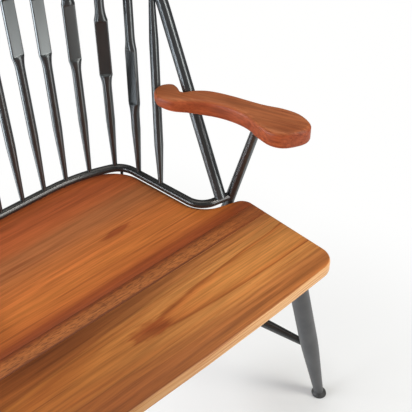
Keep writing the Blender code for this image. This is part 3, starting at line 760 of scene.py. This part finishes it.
def make_bolt():
    """A dome-head bolt with a hex socket, the underside of its head at the origin."""
    bolt = draw_rod("bolt", upright(rounds(BOLT_SHAPE)), SCREW_SIDES)
    socket = start_ring("socket", 6, SOCKET_RADIUS, (0, 0, SOCKET_FLOOR))
    pull((0, 0, SOCKET_CUT))
    turn_outwards()
    cut_out(bolt, socket)
    return bolt


def plate_screw_places(end, side):
    """Where the screws of a leg's plate go, one of them straight inwards."""
    centre = leg_point(end, LEG_TOP)
    places = []
    for i in range(PLATE_SCREWS):
        turn = pi + 2 * pi * i / PLATE_SCREWS
        spot = (centre.x + PLATE_SCREW_CIRCLE * cos(turn), centre.y + PLATE_SCREW_CIRCLE * sin(turn))
        places.append(sided(spot, side))
    return places


def set_screw(pattern, node, place, height):
    """A copy of the screw, driven up at a place."""
    screw = copy_piece(pattern, node)
    set_down(screw, (*place, height))
    settle(screw, node, SCREW_STEEL)


# Materials

def connect(tree, node, inputs):
    """Link or set a node's inputs."""
    for socket, value in inputs.items():
        if isinstance(value, bpy.types.NodeSocket):
            tree.links.new(value, node.inputs[socket])
        else:
            node.inputs[socket].default_value = value


def add_node(tree, kind, inputs, **settings):
    """A node with its settings, and its inputs linked or set."""
    node = tree.nodes.new(kind)
    for name, value in settings.items():
        setattr(node, name, value)
    connect(tree, node, inputs)
    return node


def calc(tree, operation, *values):
    """An operation on numbers."""
    return add_node(tree, "ShaderNodeMath", dict(enumerate(values)), operation=operation).outputs[0]


def plus(tree, first, second):
    """A sum."""
    return calc(tree, "ADD", first, second)


def minus(tree, first, second):
    """A difference."""
    return calc(tree, "SUBTRACT", first, second)


def times(tree, first, second):
    """A product."""
    return calc(tree, "MULTIPLY", first, second)


def split(tree, vector):
    """A vector's X, Y and Z."""
    return add_node(tree, "ShaderNodeSeparateXYZ", {0: vector}).outputs


def facing(tree):
    """X, Y and Z of the direction that the surface faces."""
    return split(tree, tree.nodes.new("ShaderNodeNewGeometry").outputs["Normal"])


def mix_colours(tree, factor, first, second):
    """Two colours mixed by a factor."""
    return add_node(
        tree, "ShaderNodeMix", {0: factor, 6: first, 7: second}, data_type="RGBA").outputs[2]


def lay_over(tree, colour, mask, strength, layer):
    """A second colour laid over the first where a mask is 1, at a strength."""
    return mix_colours(tree, times(tree, mask, strength), colour, layer)


def stain(tree, colour, factors, amount):
    """A colour multiplied by factors for red, green and blue where the amount is 1."""
    stained = add_node(tree, "ShaderNodeVectorMath", {0: colour, 1: factors}, operation="MULTIPLY")
    return mix_colours(tree, amount, colour, stained.outputs[0])


def shade(tree, colour, light):
    """A colour made lighter or darker by a factor."""
    return add_node(
        tree, "ShaderNodeVectorMath", {0: colour, "Scale": light}, operation="SCALE").outputs[0]


def spread(tree, value, low, high, start=0.0, end=1.0):
    """A value's range from low to high, turned smoothly into start to end."""
    return add_node(
        tree, "ShaderNodeMapRange", {0: value, 1: low, 2: high, 3: start, 4: end},
        interpolation_type="SMOOTHSTEP").outputs[0]


def stretched_noise(tree, vector, stretch, detail=3.0, turn=(0, 0, 0)):
    """Noise drawn out by a stretch along each axis."""
    mapping = add_node(tree, "ShaderNodeMapping", {"Vector": vector, "Rotation": turn, "Scale": stretch})
    noise = add_node(
        tree, "ShaderNodeTexNoise", {"Vector": mapping.outputs[0], "Scale": 1.0, "Detail": detail})
    return noise.outputs["Fac"]


def even_noise(tree, vector, scale, detail):
    """Noise of one scale along every axis."""
    return stretched_noise(tree, vector, (scale, scale, scale), detail)


def tone(red, green, blue):
    """A colour from its display values, 0 to 255."""
    channels = []
    for value in (red / 255, green / 255, blue / 255):
        channels.append(value / 12.92 if value <= 0.04045 else ((value + 0.055) / 1.055) ** 2.4)
    return (*channels, 1.0)


def colour_bands(tree, value, bands):
    """A ramp of (place, display colour) bands."""
    ramp = add_node(tree, "ShaderNodeValToRGB", {"Fac": value})
    stops = ramp.color_ramp.elements
    while len(stops) < len(bands):
        stops.new(0.5)
    for stop, (place, colour) in zip(stops, bands):
        stop.position = place
        stop.color = tone(*colour)
    return ramp.outputs["Color"]


def new_group(name, numbers, outputs):
    """A node group that takes a Vector and numbers and puts out numbers: its tree, inputs and end."""
    tree = bpy.data.node_groups.new(name, "ShaderNodeTree")
    tree.interface.new_socket("Vector", in_out="INPUT", socket_type="NodeSocketVector")
    for in_out, sockets in (("INPUT", numbers), ("OUTPUT", outputs)):
        for socket in sockets:
            tree.interface.new_socket(socket, in_out=in_out, socket_type="NodeSocketFloat")
    return tree, tree.nodes.new("NodeGroupInput").outputs, tree.nodes.new("NodeGroupOutput")


def make_growth_group():
    """Distance from a tree's heart, which a board cuts at a slant: the tongues of its figure."""
    tree, given, out = new_group(
        "growth_figure", ("Tip X", "Heart Y", "Heart Slope", "Depth", "Taper", "Wander"),
        ("Distance", "Across"))
    x, y, z = split(tree, given["Vector"])
    slow = stretched_noise(tree, given["Vector"], (5, 26, 26), 2.0)
    quick = stretched_noise(tree, given["Vector"], (16, 90, 90), 2.0)
    sway = plus(tree, minus(tree, slow, 0.5), times(tree, minus(tree, quick, 0.5), 0.35))
    sway = times(tree, sway, given["Wander"])
    from_tip = minus(tree, x, given["Tip X"])
    across = minus(tree, y, given["Heart Y"])
    across = minus(tree, across, times(tree, from_tip, given["Heart Slope"]))
    across = plus(tree, across, sway)
    deep = minus(tree, given["Depth"], times(tree, from_tip, given["Taper"]))
    deep = plus(tree, deep, times(tree, sway, 0.7))
    deep = plus(tree, deep, minus(tree, SEAT_TOP, z))
    squares = plus(tree, times(tree, across, across), times(tree, deep, deep))
    connect(tree, out, {"Distance": calc(tree, "SQRT", squares), "Across": across})
    return tree


def make_fibre_group():
    """Fine grain along X: streaks, dark lines, short dark pores and the height that they give."""
    tree, given, out = new_group(
        "wood_fibre", ("Pore Amount",), ("Streaks", "Lines", "Pores", "Height"))
    vector = given["Vector"]
    broad = stretched_noise(tree, vector, (5, 150, 150))
    fine = stretched_noise(tree, vector, (16, 380, 380))
    streaks = plus(tree, times(tree, broad, 0.5), times(tree, fine, 0.5))
    lines = spread(tree, stretched_noise(tree, vector, (4, 190, 190)), 0.56, 0.70)
    ticks = stretched_noise(tree, vector, (70, 700, 700), 2.0)
    limit = minus(tree, 0.80, times(tree, given["Pore Amount"], 0.25))
    pores = spread(tree, ticks, limit, plus(tree, limit, 0.10))
    height = minus(tree, times(tree, streaks, 0.5), times(tree, pores, 0.5))
    connect(tree, out, {"Streaks": streaks, "Lines": lines, "Pores": pores, "Height": height})
    return tree


def make_gloss_group():
    """Uneven gloss: what rubbing and dust do to a lacquer or a paint."""
    tree, given, out = new_group("uneven_gloss", ("Base", "Range"), ("Roughness",))
    cloud = even_noise(tree, given["Vector"], 9, 4.0)
    smear = even_noise(tree, given["Vector"], 60, 3.0)
    both = plus(tree, times(tree, cloud, 0.7), times(tree, smear, 0.3))
    shift = times(tree, minus(tree, both, 0.5), given["Range"])
    connect(tree, out, {"Roughness": plus(tree, shift, given["Base"])})
    return tree


GROWTH = make_growth_group()
FIBRE = make_fibre_group()
UNEVEN_GLOSS = make_gloss_group()


def new_material(name):
    """A Principled material: the material, its tree, its shader and its Object coordinates."""
    material = bpy.data.materials.new(name)
    material.use_nodes = True
    tree = material.node_tree
    coordinates = tree.nodes.new("ShaderNodeTexCoord").outputs["Object"]
    return material, tree, tree.nodes["Principled BSDF"], coordinates


def use_group(tree, group, inputs):
    """A group placed in a material with its own values."""
    return add_node(tree, "ShaderNodeGroup", inputs, node_tree=group).outputs


def uneven(tree, coordinates, base, reach):
    """A roughness that wanders about its base."""
    return use_group(
        tree, UNEVEN_GLOSS, {"Vector": coordinates, "Base": base, "Range": reach})["Roughness"]


def bump(tree, height, strength, distance):
    """A normal from a height."""
    return add_node(tree, "ShaderNodeBump", {
        "Strength": strength, "Distance": distance, "Height": height}).outputs[0]


def finish_wood(tree, shader, coordinates, colour, height, roughness):
    """The lacquered finish that the woods share."""
    connect(tree, shader, {
        "Base Color": colour, "Roughness": uneven(tree, coordinates, roughness, 0.16),
        "Normal": bump(tree, height, 0.25, 0.0004), "Specular IOR Level": 0.22})


def pale_edge_and_painted_light(tree, coordinates, colour, strength):
    """A paler tone with long fine lines on the edges that face the front or the back: partly the paler
    wood of the rounded edge and partly painted light on faces that catch more of the lamps.
    """
    pale = colour_bands(tree, stretched_noise(tree, coordinates, (7, 60, 420)), [
        (0.34, (190, 126, 72)), (0.46, (226, 172, 114)), (0.56, (238, 190, 134)), (0.66, (250, 208, 154))])
    # Painted light, with the edge's own paler tone: faces that turn to the front or the back are made
    # paler.
    edge = spread(tree, calc(tree, "ABSOLUTE", facing(tree)[1]), 0.25, 0.85)
    return lay_over(tree, colour, edge, strength, pale)


def year_rings(tree, colour, distance, per_metre, ring_tone):
    """Faint rings over a board's colour."""
    rings = calc(tree, "PINGPONG", times(tree, distance, per_metre), 1.0)
    return lay_over(tree, colour, rings, 0.14, tone(*ring_tone))


def grain_over(tree, colour, vector, streaks, lines, pores, pore_amount):
    """A colour under streaks of a strength and (tone, strength) lines and pores, and its height."""
    fibre = use_group(tree, FIBRE, {"Vector": vector, "Pore Amount": pore_amount})
    light = spread(tree, fibre["Streaks"], 0.34, 0.66, 1.0 - streaks, 1.0 + streaks)
    lined = lay_over(tree, shade(tree, colour, light), fibre["Lines"], lines[1], tone(*lines[0]))
    return lay_over(tree, lined, fibre["Pores"], pores[1], tone(*pores[0])), fibre["Height"]


def ragged_spot(tree, coordinates, place, reach, raggedness):
    """A mark on the seat with a ragged outline, drawn out along the grain: 1 inside and 0 outside."""
    sizes = (*reach, 0.02)
    centre = (*place, SEAT_TOP)
    local = add_node(tree, "ShaderNodeMapping", {
        "Vector": coordinates, "Location": [-c / s for c, s in zip(centre, sizes)],
        "Scale": [1 / s for s in sizes]}).outputs[0]
    distance = add_node(tree, "ShaderNodeVectorMath", {0: local}, operation="LENGTH").outputs["Value"]
    noise = minus(tree, stretched_noise(tree, coordinates, (30, 190, 190)), 0.5)
    return spread(tree, calc(tree, "MULTIPLY_ADD", noise, raggedness, distance), 0.55, 1.10, 1.0, 0.0)


def make_front_wood():
    """Golden-brown board with a tongue of figure, which a thin dark line bounds, with painted shade that
    makes it darker and browner towards the left.
    """
    material, tree, shader, coordinates = new_material("golden_front_board")
    figure = use_group(tree, GROWTH, {
        "Vector": coordinates, "Tip X": -0.050, "Heart Y": -0.166, "Heart Slope": 0.022, "Depth": 0.036,
        "Taper": 0.060, "Wander": 0.011})
    colour = colour_bands(tree, times(tree, figure["Distance"], 10.0), [
        (0.16, (216, 146, 78)), (0.28, (212, 140, 72)), (0.335, (198, 121, 60)), (0.352, (156, 86, 40)),
        (0.368, (204, 136, 72)), (0.43, (212, 144, 78)), (0.50, (196, 126, 66)), (0.54, (206, 138, 74)),
        (0.58, (178, 112, 60)), (0.64, (196, 126, 68)), (0.69, (172, 106, 56)), (0.76, (184, 114, 60)),
        (0.82, (164, 100, 52)), (0.90, (188, 116, 60)), (0.945, (154, 94, 52)), (0.985, (140, 84, 48))])
    colour = year_rings(tree, colour, figure["Distance"], 330.0, (150, 86, 42))
    tip = ragged_spot(tree, coordinates, (-0.030, -0.163), (0.040, 0.019), 1.9)
    colour = lay_over(tree, colour, tip, 0.70, tone(156, 78, 36))
    colour, height = grain_over(
        tree, colour, coordinates, 0.21, ((128, 74, 38), 0.55), ((104, 60, 32), 0.55), 0.45)
    # Paler front edge: partly the wood's own tone, partly painted light.
    colour = pale_edge_and_painted_light(tree, coordinates, colour, 0.72)
    x = split(tree, coordinates)[0]
    # Painted shade: the board, its front edge too, is darkened and browned towards the left, where less
    # light falls.
    colour = stain(tree, colour, (0.60, 0.47, 0.32), spread(tree, x, -0.20, 0.14, 0.95, 0.0))
    by_strip = times(
        tree, spread(tree, figure["Across"], 0.01, 0.07), spread(tree, x, -0.05, 0.22, 1.0, 0.0))
    colour = stain(tree, colour, (0.74, 0.74, 0.80), by_strip)
    finish_wood(tree, shader, coordinates, colour, height, 0.40)
    return material


def make_rear_wood():
    """Reddish board with straight grain, a dark fleck and a darker band along its glue line."""
    material, tree, shader, coordinates = new_material("reddish_rear_board")
    figure = use_group(tree, GROWTH, {
        "Vector": coordinates, "Tip X": 0.0, "Heart Y": -0.062, "Heart Slope": 0.012, "Depth": 0.002,
        "Taper": 0.0, "Wander": 0.020})
    colour = colour_bands(tree, times(tree, figure["Across"], 3.5), [
        (0.0, (150, 74, 38)), (0.045, (156, 78, 38)), (0.095, (194, 110, 52)), (0.20, (206, 122, 58)),
        (0.31, (204, 118, 58)), (0.42, (192, 114, 60)), (0.50, (180, 110, 64)), (0.58, (174, 106, 62)),
        (0.66, (186, 100, 54)), (0.78, (180, 92, 50)), (0.90, (186, 98, 54)), (1.0, (178, 92, 50))])
    colour = year_rings(tree, colour, figure["Across"], 210.0, (142, 74, 36))
    fleck = ragged_spot(tree, coordinates, (0.076, 0.043), (0.034, 0.009), 1.5)
    colour = lay_over(tree, colour, fleck, 0.75, tone(146, 68, 34))
    colour, height = grain_over(
        tree, colour, coordinates, 0.19, ((134, 68, 36), 0.48), ((104, 54, 30), 0.50), 0.45)
    finish_wood(tree, shader, coordinates, colour, height, 0.38)
    return material


def make_strip_wood():
    """Brown strip with a lace of slanting dark flecks."""
    material, tree, shader, coordinates = new_material("flecked_middle_strip")
    x, y = split(tree, coordinates)[:2]
    colour = colour_bands(tree, spread(tree, y, -0.0925, -0.0604), [
        (0.0, (112, 60, 34)), (0.05, (166, 98, 50)), (0.30, (180, 110, 58)), (0.65, (174, 104, 54)),
        (0.88, (162, 92, 46)), (0.97, (138, 70, 34)), (1.0, (128, 64, 32))])
    lace = []
    for slant in (0.4, -0.4):
        flecks = stretched_noise(tree, coordinates, (80, 400, 400), 2.0, (0, 0, slant))
        lace.append(spread(tree, flecks, 0.50, 0.66))
    colour = lay_over(tree, colour, calc(tree, "MAXIMUM", *lace), 0.66, tone(106, 60, 34))
    redder = spread(tree, x, 0.16, 0.26, 0.0, 0.55)
    colour = mix_colours(tree, redder, colour, tone(160, 86, 44))
    colour, height = grain_over(
        tree, colour, coordinates, 0.16, ((112, 62, 36), 0.40), ((88, 50, 30), 0.50), 0.75)
    finish_wood(tree, shader, coordinates, colour, height, 0.44)
    return material


def make_arm_wood():
    """Terracotta wood with grain along the arm, redder at its sides, with painted shade that darkens the
    faces turned to the front.
    """
    material, tree, shader, coordinates = new_material("terracotta_arm_wood")
    along_arm = add_node(
        tree, "ShaderNodeMapping", {"Vector": coordinates, "Rotation": (0, 0, radians(68))}).outputs[0]
    colour = colour_bands(tree, stretched_noise(tree, along_arm, (10, 60, 60)), [
        (0.25, (136, 70, 38)), (0.45, (162, 92, 54)), (0.60, (172, 102, 62)), (0.75, (150, 80, 46))])
    colour, height = grain_over(
        tree, colour, along_arm, 0.22, ((116, 56, 32), 0.50), ((96, 48, 28), 0.45), 0.50)
    y, z = facing(tree)[1:]
    colour = stain(tree, colour, (1.0, 0.72, 0.66), spread(tree, z, 0.25, 0.90, 1.0, 0.0))
    # Painted shade: faces turned to the front, the nose above all, are made darker.
    colour = stain(tree, colour, (0.76, 0.74, 0.80), spread(tree, y, -0.95, -0.40, 1.0, 0.0))
    finish_wood(tree, shader, coordinates, colour, height, 0.42)
    return material


def make_paint(name, colour, worn, roughness, index, drawn_out=0.0, mirror_tint=(1, 1, 1, 1)):
    """Paint on steel: a fine orange peel, uneven gloss and slightly paler patches.

    Over rods that were turned in a lathe the gloss is drawn out along the rod.
    """
    material, tree, shader, coordinates = new_material(name)
    patches = spread(tree, even_noise(tree, coordinates, 35, 4.0), 0.35, 0.75)
    rise = add_node(tree, "ShaderNodeCombineXYZ", {0: 0.04, 1: 0.08, 2: 1.0}).outputs[0]
    connect(tree, shader, {
        "Base Color": mix_colours(tree, patches, colour, worn),
        "Roughness": uneven(tree, coordinates, roughness, 0.10),
        "Normal": bump(tree, even_noise(tree, coordinates, 700, 2.0), 0.01, 0.0001),
        "Tangent": rise, "Anisotropic": drawn_out, "IOR": index, "Specular Tint": mirror_tint})
    return material


def make_screw_steel():
    """Blackened steel, rubbed bright in places."""
    material, tree, shader, coordinates = new_material("blackened_screw_steel")
    rubbed = spread(tree, even_noise(tree, coordinates, 900, 4.0), 0.45, 0.75)
    connect(tree, shader, {
        "Base Color": mix_colours(tree, rubbed, (0.05, 0.05, 0.052, 1), (0.16, 0.16, 0.165, 1)),
        "Roughness": uneven(tree, coordinates, 0.42, 0.2), "Metallic": 1.0})
    return material


def make_rubber():
    """Black rubber with a scuffed, dusty skin."""
    material, tree, shader, coordinates = new_material("black_glide_rubber")
    dust = spread(tree, even_noise(tree, coordinates, 260, 4.0), 0.45, 0.80)
    connect(tree, shader, {
        "Base Color": mix_colours(tree, dust, (0.018, 0.018, 0.018, 1), (0.055, 0.054, 0.052, 1)),
        "Normal": bump(tree, even_noise(tree, coordinates, 1600, 2.0), 0.15, 0.0002),
        "Roughness": 0.62})
    return material


FRONT_WOOD = make_front_wood()
STRIP_WOOD = make_strip_wood()
REAR_WOOD = make_rear_wood()
ARM_WOOD = make_arm_wood()
ROD_PAINT = make_paint(
    "charcoal_rod_paint", (0.018, 0.019, 0.020, 1), (0.025, 0.026, 0.027, 1), roughness=0.32, index=1.95,
    drawn_out=0.95, mirror_tint=(0.88, 0.97, 1.0, 1))
RAIL_PAINT = make_paint(
    "charcoal_rail_paint", (0.016, 0.017, 0.017, 1), (0.023, 0.024, 0.023, 1), roughness=0.26, index=1.6)
LEG_PAINT = make_paint(
    "grey_leg_paint", (0.053, 0.054, 0.056, 1), (0.069, 0.070, 0.072, 1), roughness=0.42, index=1.45)
SCREW_STEEL = make_screw_steel()
RUBBER = make_rubber()

# Making the chair

seat_blank = make_seat_blank()
for board, rear_line, front_line, wood, wood_slot in (
        ("seat_board_rear", None, STRIP_REAR + JOINT_GAP, REAR_WOOD, "rear_board_wood"),
        ("seat_board_middle", STRIP_REAR - JOINT_GAP, STRIP_FRONT + JOINT_GAP, STRIP_WOOD,
         "middle_strip_wood"),
        ("seat_board_front", STRIP_FRONT - JOINT_GAP, None, FRONT_WOOD, "front_board_wood")):
    settle(cut_board(seat_blank, board, rear_line, front_line), board, wood)
bpy.data.objects.remove(seat_blank)

settle(make_hoop(), "back_hoop", ROD_PAINT)
settle(make_rail(), "seat_rail", RAIL_PAINT)
settle(make_spindle(0, 1), "spindle_middle", ROD_PAINT)
screw_pattern = make_screw()
bolt_pattern = make_bolt()
for label, side in SIDES:
    settle(make_arm(side), f"armrest_{label}", ARM_WOOD)
    settle(make_post(side), f"arm_post_{label}", ROD_PAINT)
    for number in range(1, SPINDLES_PER_SIDE + 1):
        settle(make_spindle(number, side), f"spindle_{label}_{number}", ROD_PAINT)
    for leg_end in LEGS:
        settle(make_leg(leg_end, side), f"leg_{leg_end}_{label}", LEG_PAINT)
        settle(make_glide(leg_end, side), f"glide_{leg_end}_{label}", RUBBER)
        settle(make_plate(leg_end, side), f"leg_plate_{leg_end}_{label}", LEG_PAINT)
        for number, spot in enumerate(plate_screw_places(leg_end, side), 1):
            set_screw(screw_pattern, f"leg_screw_{leg_end}_{label}_{number}", spot, LEG_TOP)
    settle(make_stretcher(*stretcher_ends(side)), f"stretcher_{label}", RAIL_PAINT)

    post_foot = sided(post_point(SEAT_UNDERSIDE).xy, side)
    forwards = Vector((0, -1))
    rail_place, rail_direction = along(rail_course(), RAIL_PIN_PLACE)
    pin_foot = sided(rail_place, side)
    inwards = sided((rail_direction.y, -rail_direction.x), side)
    for strap, foot, heading, reach, screw_reach, has_pin in (
            ("post_strap", post_foot, forwards, POST_STRAP_REACH, POST_STRAP_SCREW, False),
            ("rail_strap", pin_foot, inwards, RAIL_STRAP_REACH, RAIL_STRAP_SCREW, True)):
        made_strap = make_strap(foot, foot + heading * reach, has_pin)
        settle(made_strap, f"{strap}_{label}", RAIL_PAINT)
        set_screw(screw_pattern, f"{strap}_screw_{label}", foot + heading * screw_reach, STRAP_UNDERSIDE)

    bolt = copy_piece(bolt_pattern, f"bolt_{label}")
    bolt_place = arm_origin() + Vector((HOOP_RADIUS + BOLT_HEAD_GAP, 0, 0))
    set_down(bolt, sided(bolt_place, side), (0, side * pi / 2, 0))
    settle(bolt, f"arm_bolt_{label}", SCREW_STEEL)
bpy.data.objects.remove(screw_pattern)
bpy.data.objects.remove(bolt_pattern)

cross_end = (stretcher_ends(1)[0] + stretcher_ends(1)[1]) / 2
settle(make_stretcher(sided(cross_end, -1), cross_end), "stretcher_cross", RAIL_PAINT)

# Floor, camera and light, with the lamps as (name, place, aim, size, power, colour)

FLOOR_SIZE = 30
# The painted shadow round each foot is centred this far from the foot.
PAINTED_SHADOW_SHIFT = Vector((-0.030, 0.045, 0))
WORLD_LIGHT = 0.22
SOFTBOXES = (
    ("window_left", (-0.96, 0.47, 0.42), (0.15, 0.15, 0.50), (1.15, 0.84), 34, (0.90, 0.94, 1.0)),
    ("window_front", (1.02, -2.50, 0.75), (0.15, 0.10, 0.60), (1.4, 1.6), 38, (1.0, 0.98, 0.95)),
    ("key", (0.72, -1.40, 1.80), (0.10, 0, 0.43), (0.5, 0.5), 15, (1.0, 0.95, 0.88)),
    ("overhead", (0.20, 0.35, 2.6), (0.05, 0.05, 0.45), (1.6, 1.6), 17, (1.0, 0.95, 0.88)))
TARGET = Vector((0.2279, CHAIR_Y, SEAT_TOP))
CAMERA_AZIMUTH = radians(-43.5)
CAMERA_ELEVATION = radians(39)
CAMERA_DISTANCE = 1.480
FOCAL_PIXELS = 865
IMAGE_PIXELS = 412
SENSOR = 36.0


def make_floor_material():
    """A pale studio floor that shows white to the camera but keeps the chair's shadow, and shows its lit
    grey round each foot: a painted shadow.

    The rods mirror it as white near the chair, and as dark farther out.
    """
    material, tree, shader, coordinates = new_material("pale_floor")
    tree.nodes.remove(shader)
    x, y = split(tree, coordinates)[:2]
    right_half = add_node(tree, "ShaderNodeCombineXYZ", {0: calc(tree, "ABSOLUTE", x), 1: y}).outputs[0]
    from_painted_shadows = []
    for end in LEGS:
        foot = leg_point(end, 0) + PAINTED_SHADOW_SHIFT
        from_painted_shadows.append(add_node(
            tree, "ShaderNodeVectorMath", {0: right_half, 1: foot}, operation="DISTANCE").outputs["Value"])
    from_painted_shadow = calc(tree, "MINIMUM", *from_painted_shadows)
    # Painted shadow: near the feet the floor shows more of its lit grey and less white, and only the grey
    # close to a foot; the real cast shadows darken it further.
    share = times(tree, spread(tree, from_painted_shadow, 0.0, 0.14), spread(tree, from_painted_shadow, 0.03, 0.60, 0.48, 1.0))
    mirrored = spread(tree, from_painted_shadow, 0.9, 1.6, 1.0, 0.10)
    path = tree.nodes.new("ShaderNodeLightPath").outputs
    white = add_node(tree, "ShaderNodeEmission", {
        "Color": (1, 1, 0.995, 1), "Strength": calc(tree, "MAXIMUM", path["Is Camera Ray"], mirrored)})
    matt = add_node(tree, "ShaderNodeBsdfDiffuse", {"Color": (0.765, 0.79, 0.79, 1)})
    seen = calc(tree, "MAXIMUM", path["Is Camera Ray"], path["Is Glossy Ray"])
    seen = calc(tree, "MAXIMUM", seen, path["Is Transmission Ray"])
    mixed = add_node(tree, "ShaderNodeMixShader", {
        0: times(tree, seen, share), 1: matt.outputs[0], 2: white.outputs[0]})
    connect(tree, tree.nodes["Material Output"], {"Surface": mixed.outputs[0]})
    return material


def add_softbox(name, place, aim, size, power, colour):
    """A rectangular lamp at a place, turned to a point."""
    data = bpy.data.lights.new(name, "AREA")
    data.shape = "RECTANGLE"
    data.size, data.size_y = size
    data.energy = power
    data.color = colour
    lamp = bpy.data.objects.new(name, data)
    lamp.location = place
    lamp.rotation_euler = (Vector(place) - Vector(aim)).to_track_quat("Z", "Y").to_euler()
    lamp.visible_camera = False
    bpy.context.scene.collection.objects.link(lamp)


put_away()
bpy.ops.mesh.primitive_plane_add(size=FLOOR_SIZE)
floor = bpy.context.object
floor.name = "floor"
floor.data.materials.append(make_floor_material())

back = Vector((
    sin(CAMERA_AZIMUTH) * cos(CAMERA_ELEVATION),
    -cos(CAMERA_AZIMUTH) * cos(CAMERA_ELEVATION),
    sin(CAMERA_ELEVATION)))
camera_data = bpy.data.cameras.new("photo_camera")
camera_data.sensor_width = SENSOR
camera_data.lens = SENSOR * FOCAL_PIXELS / IMAGE_PIXELS
camera = bpy.data.objects.new("photo_camera", camera_data)
camera.location = TARGET + back * CAMERA_DISTANCE
camera.rotation_euler = back.to_track_quat("Z", "Y").to_euler()
bpy.context.scene.collection.objects.link(camera)
bpy.context.scene.camera = camera

for softbox in SOFTBOXES:
    add_softbox(*softbox)

world = bpy.data.worlds.new("studio")
world.use_nodes = True
sky = world.node_tree
to_camera = sky.nodes.new("ShaderNodeLightPath").outputs["Is Camera Ray"]
connect(sky, sky.nodes["Background"], {
    "Color": (1, 1, 1, 1), "Strength": calc(sky, "MAXIMUM", to_camera, WORLD_LIGHT)})
bpy.context.scene.world = world
bpy.context.scene.view_settings.view_transform = "Standard"
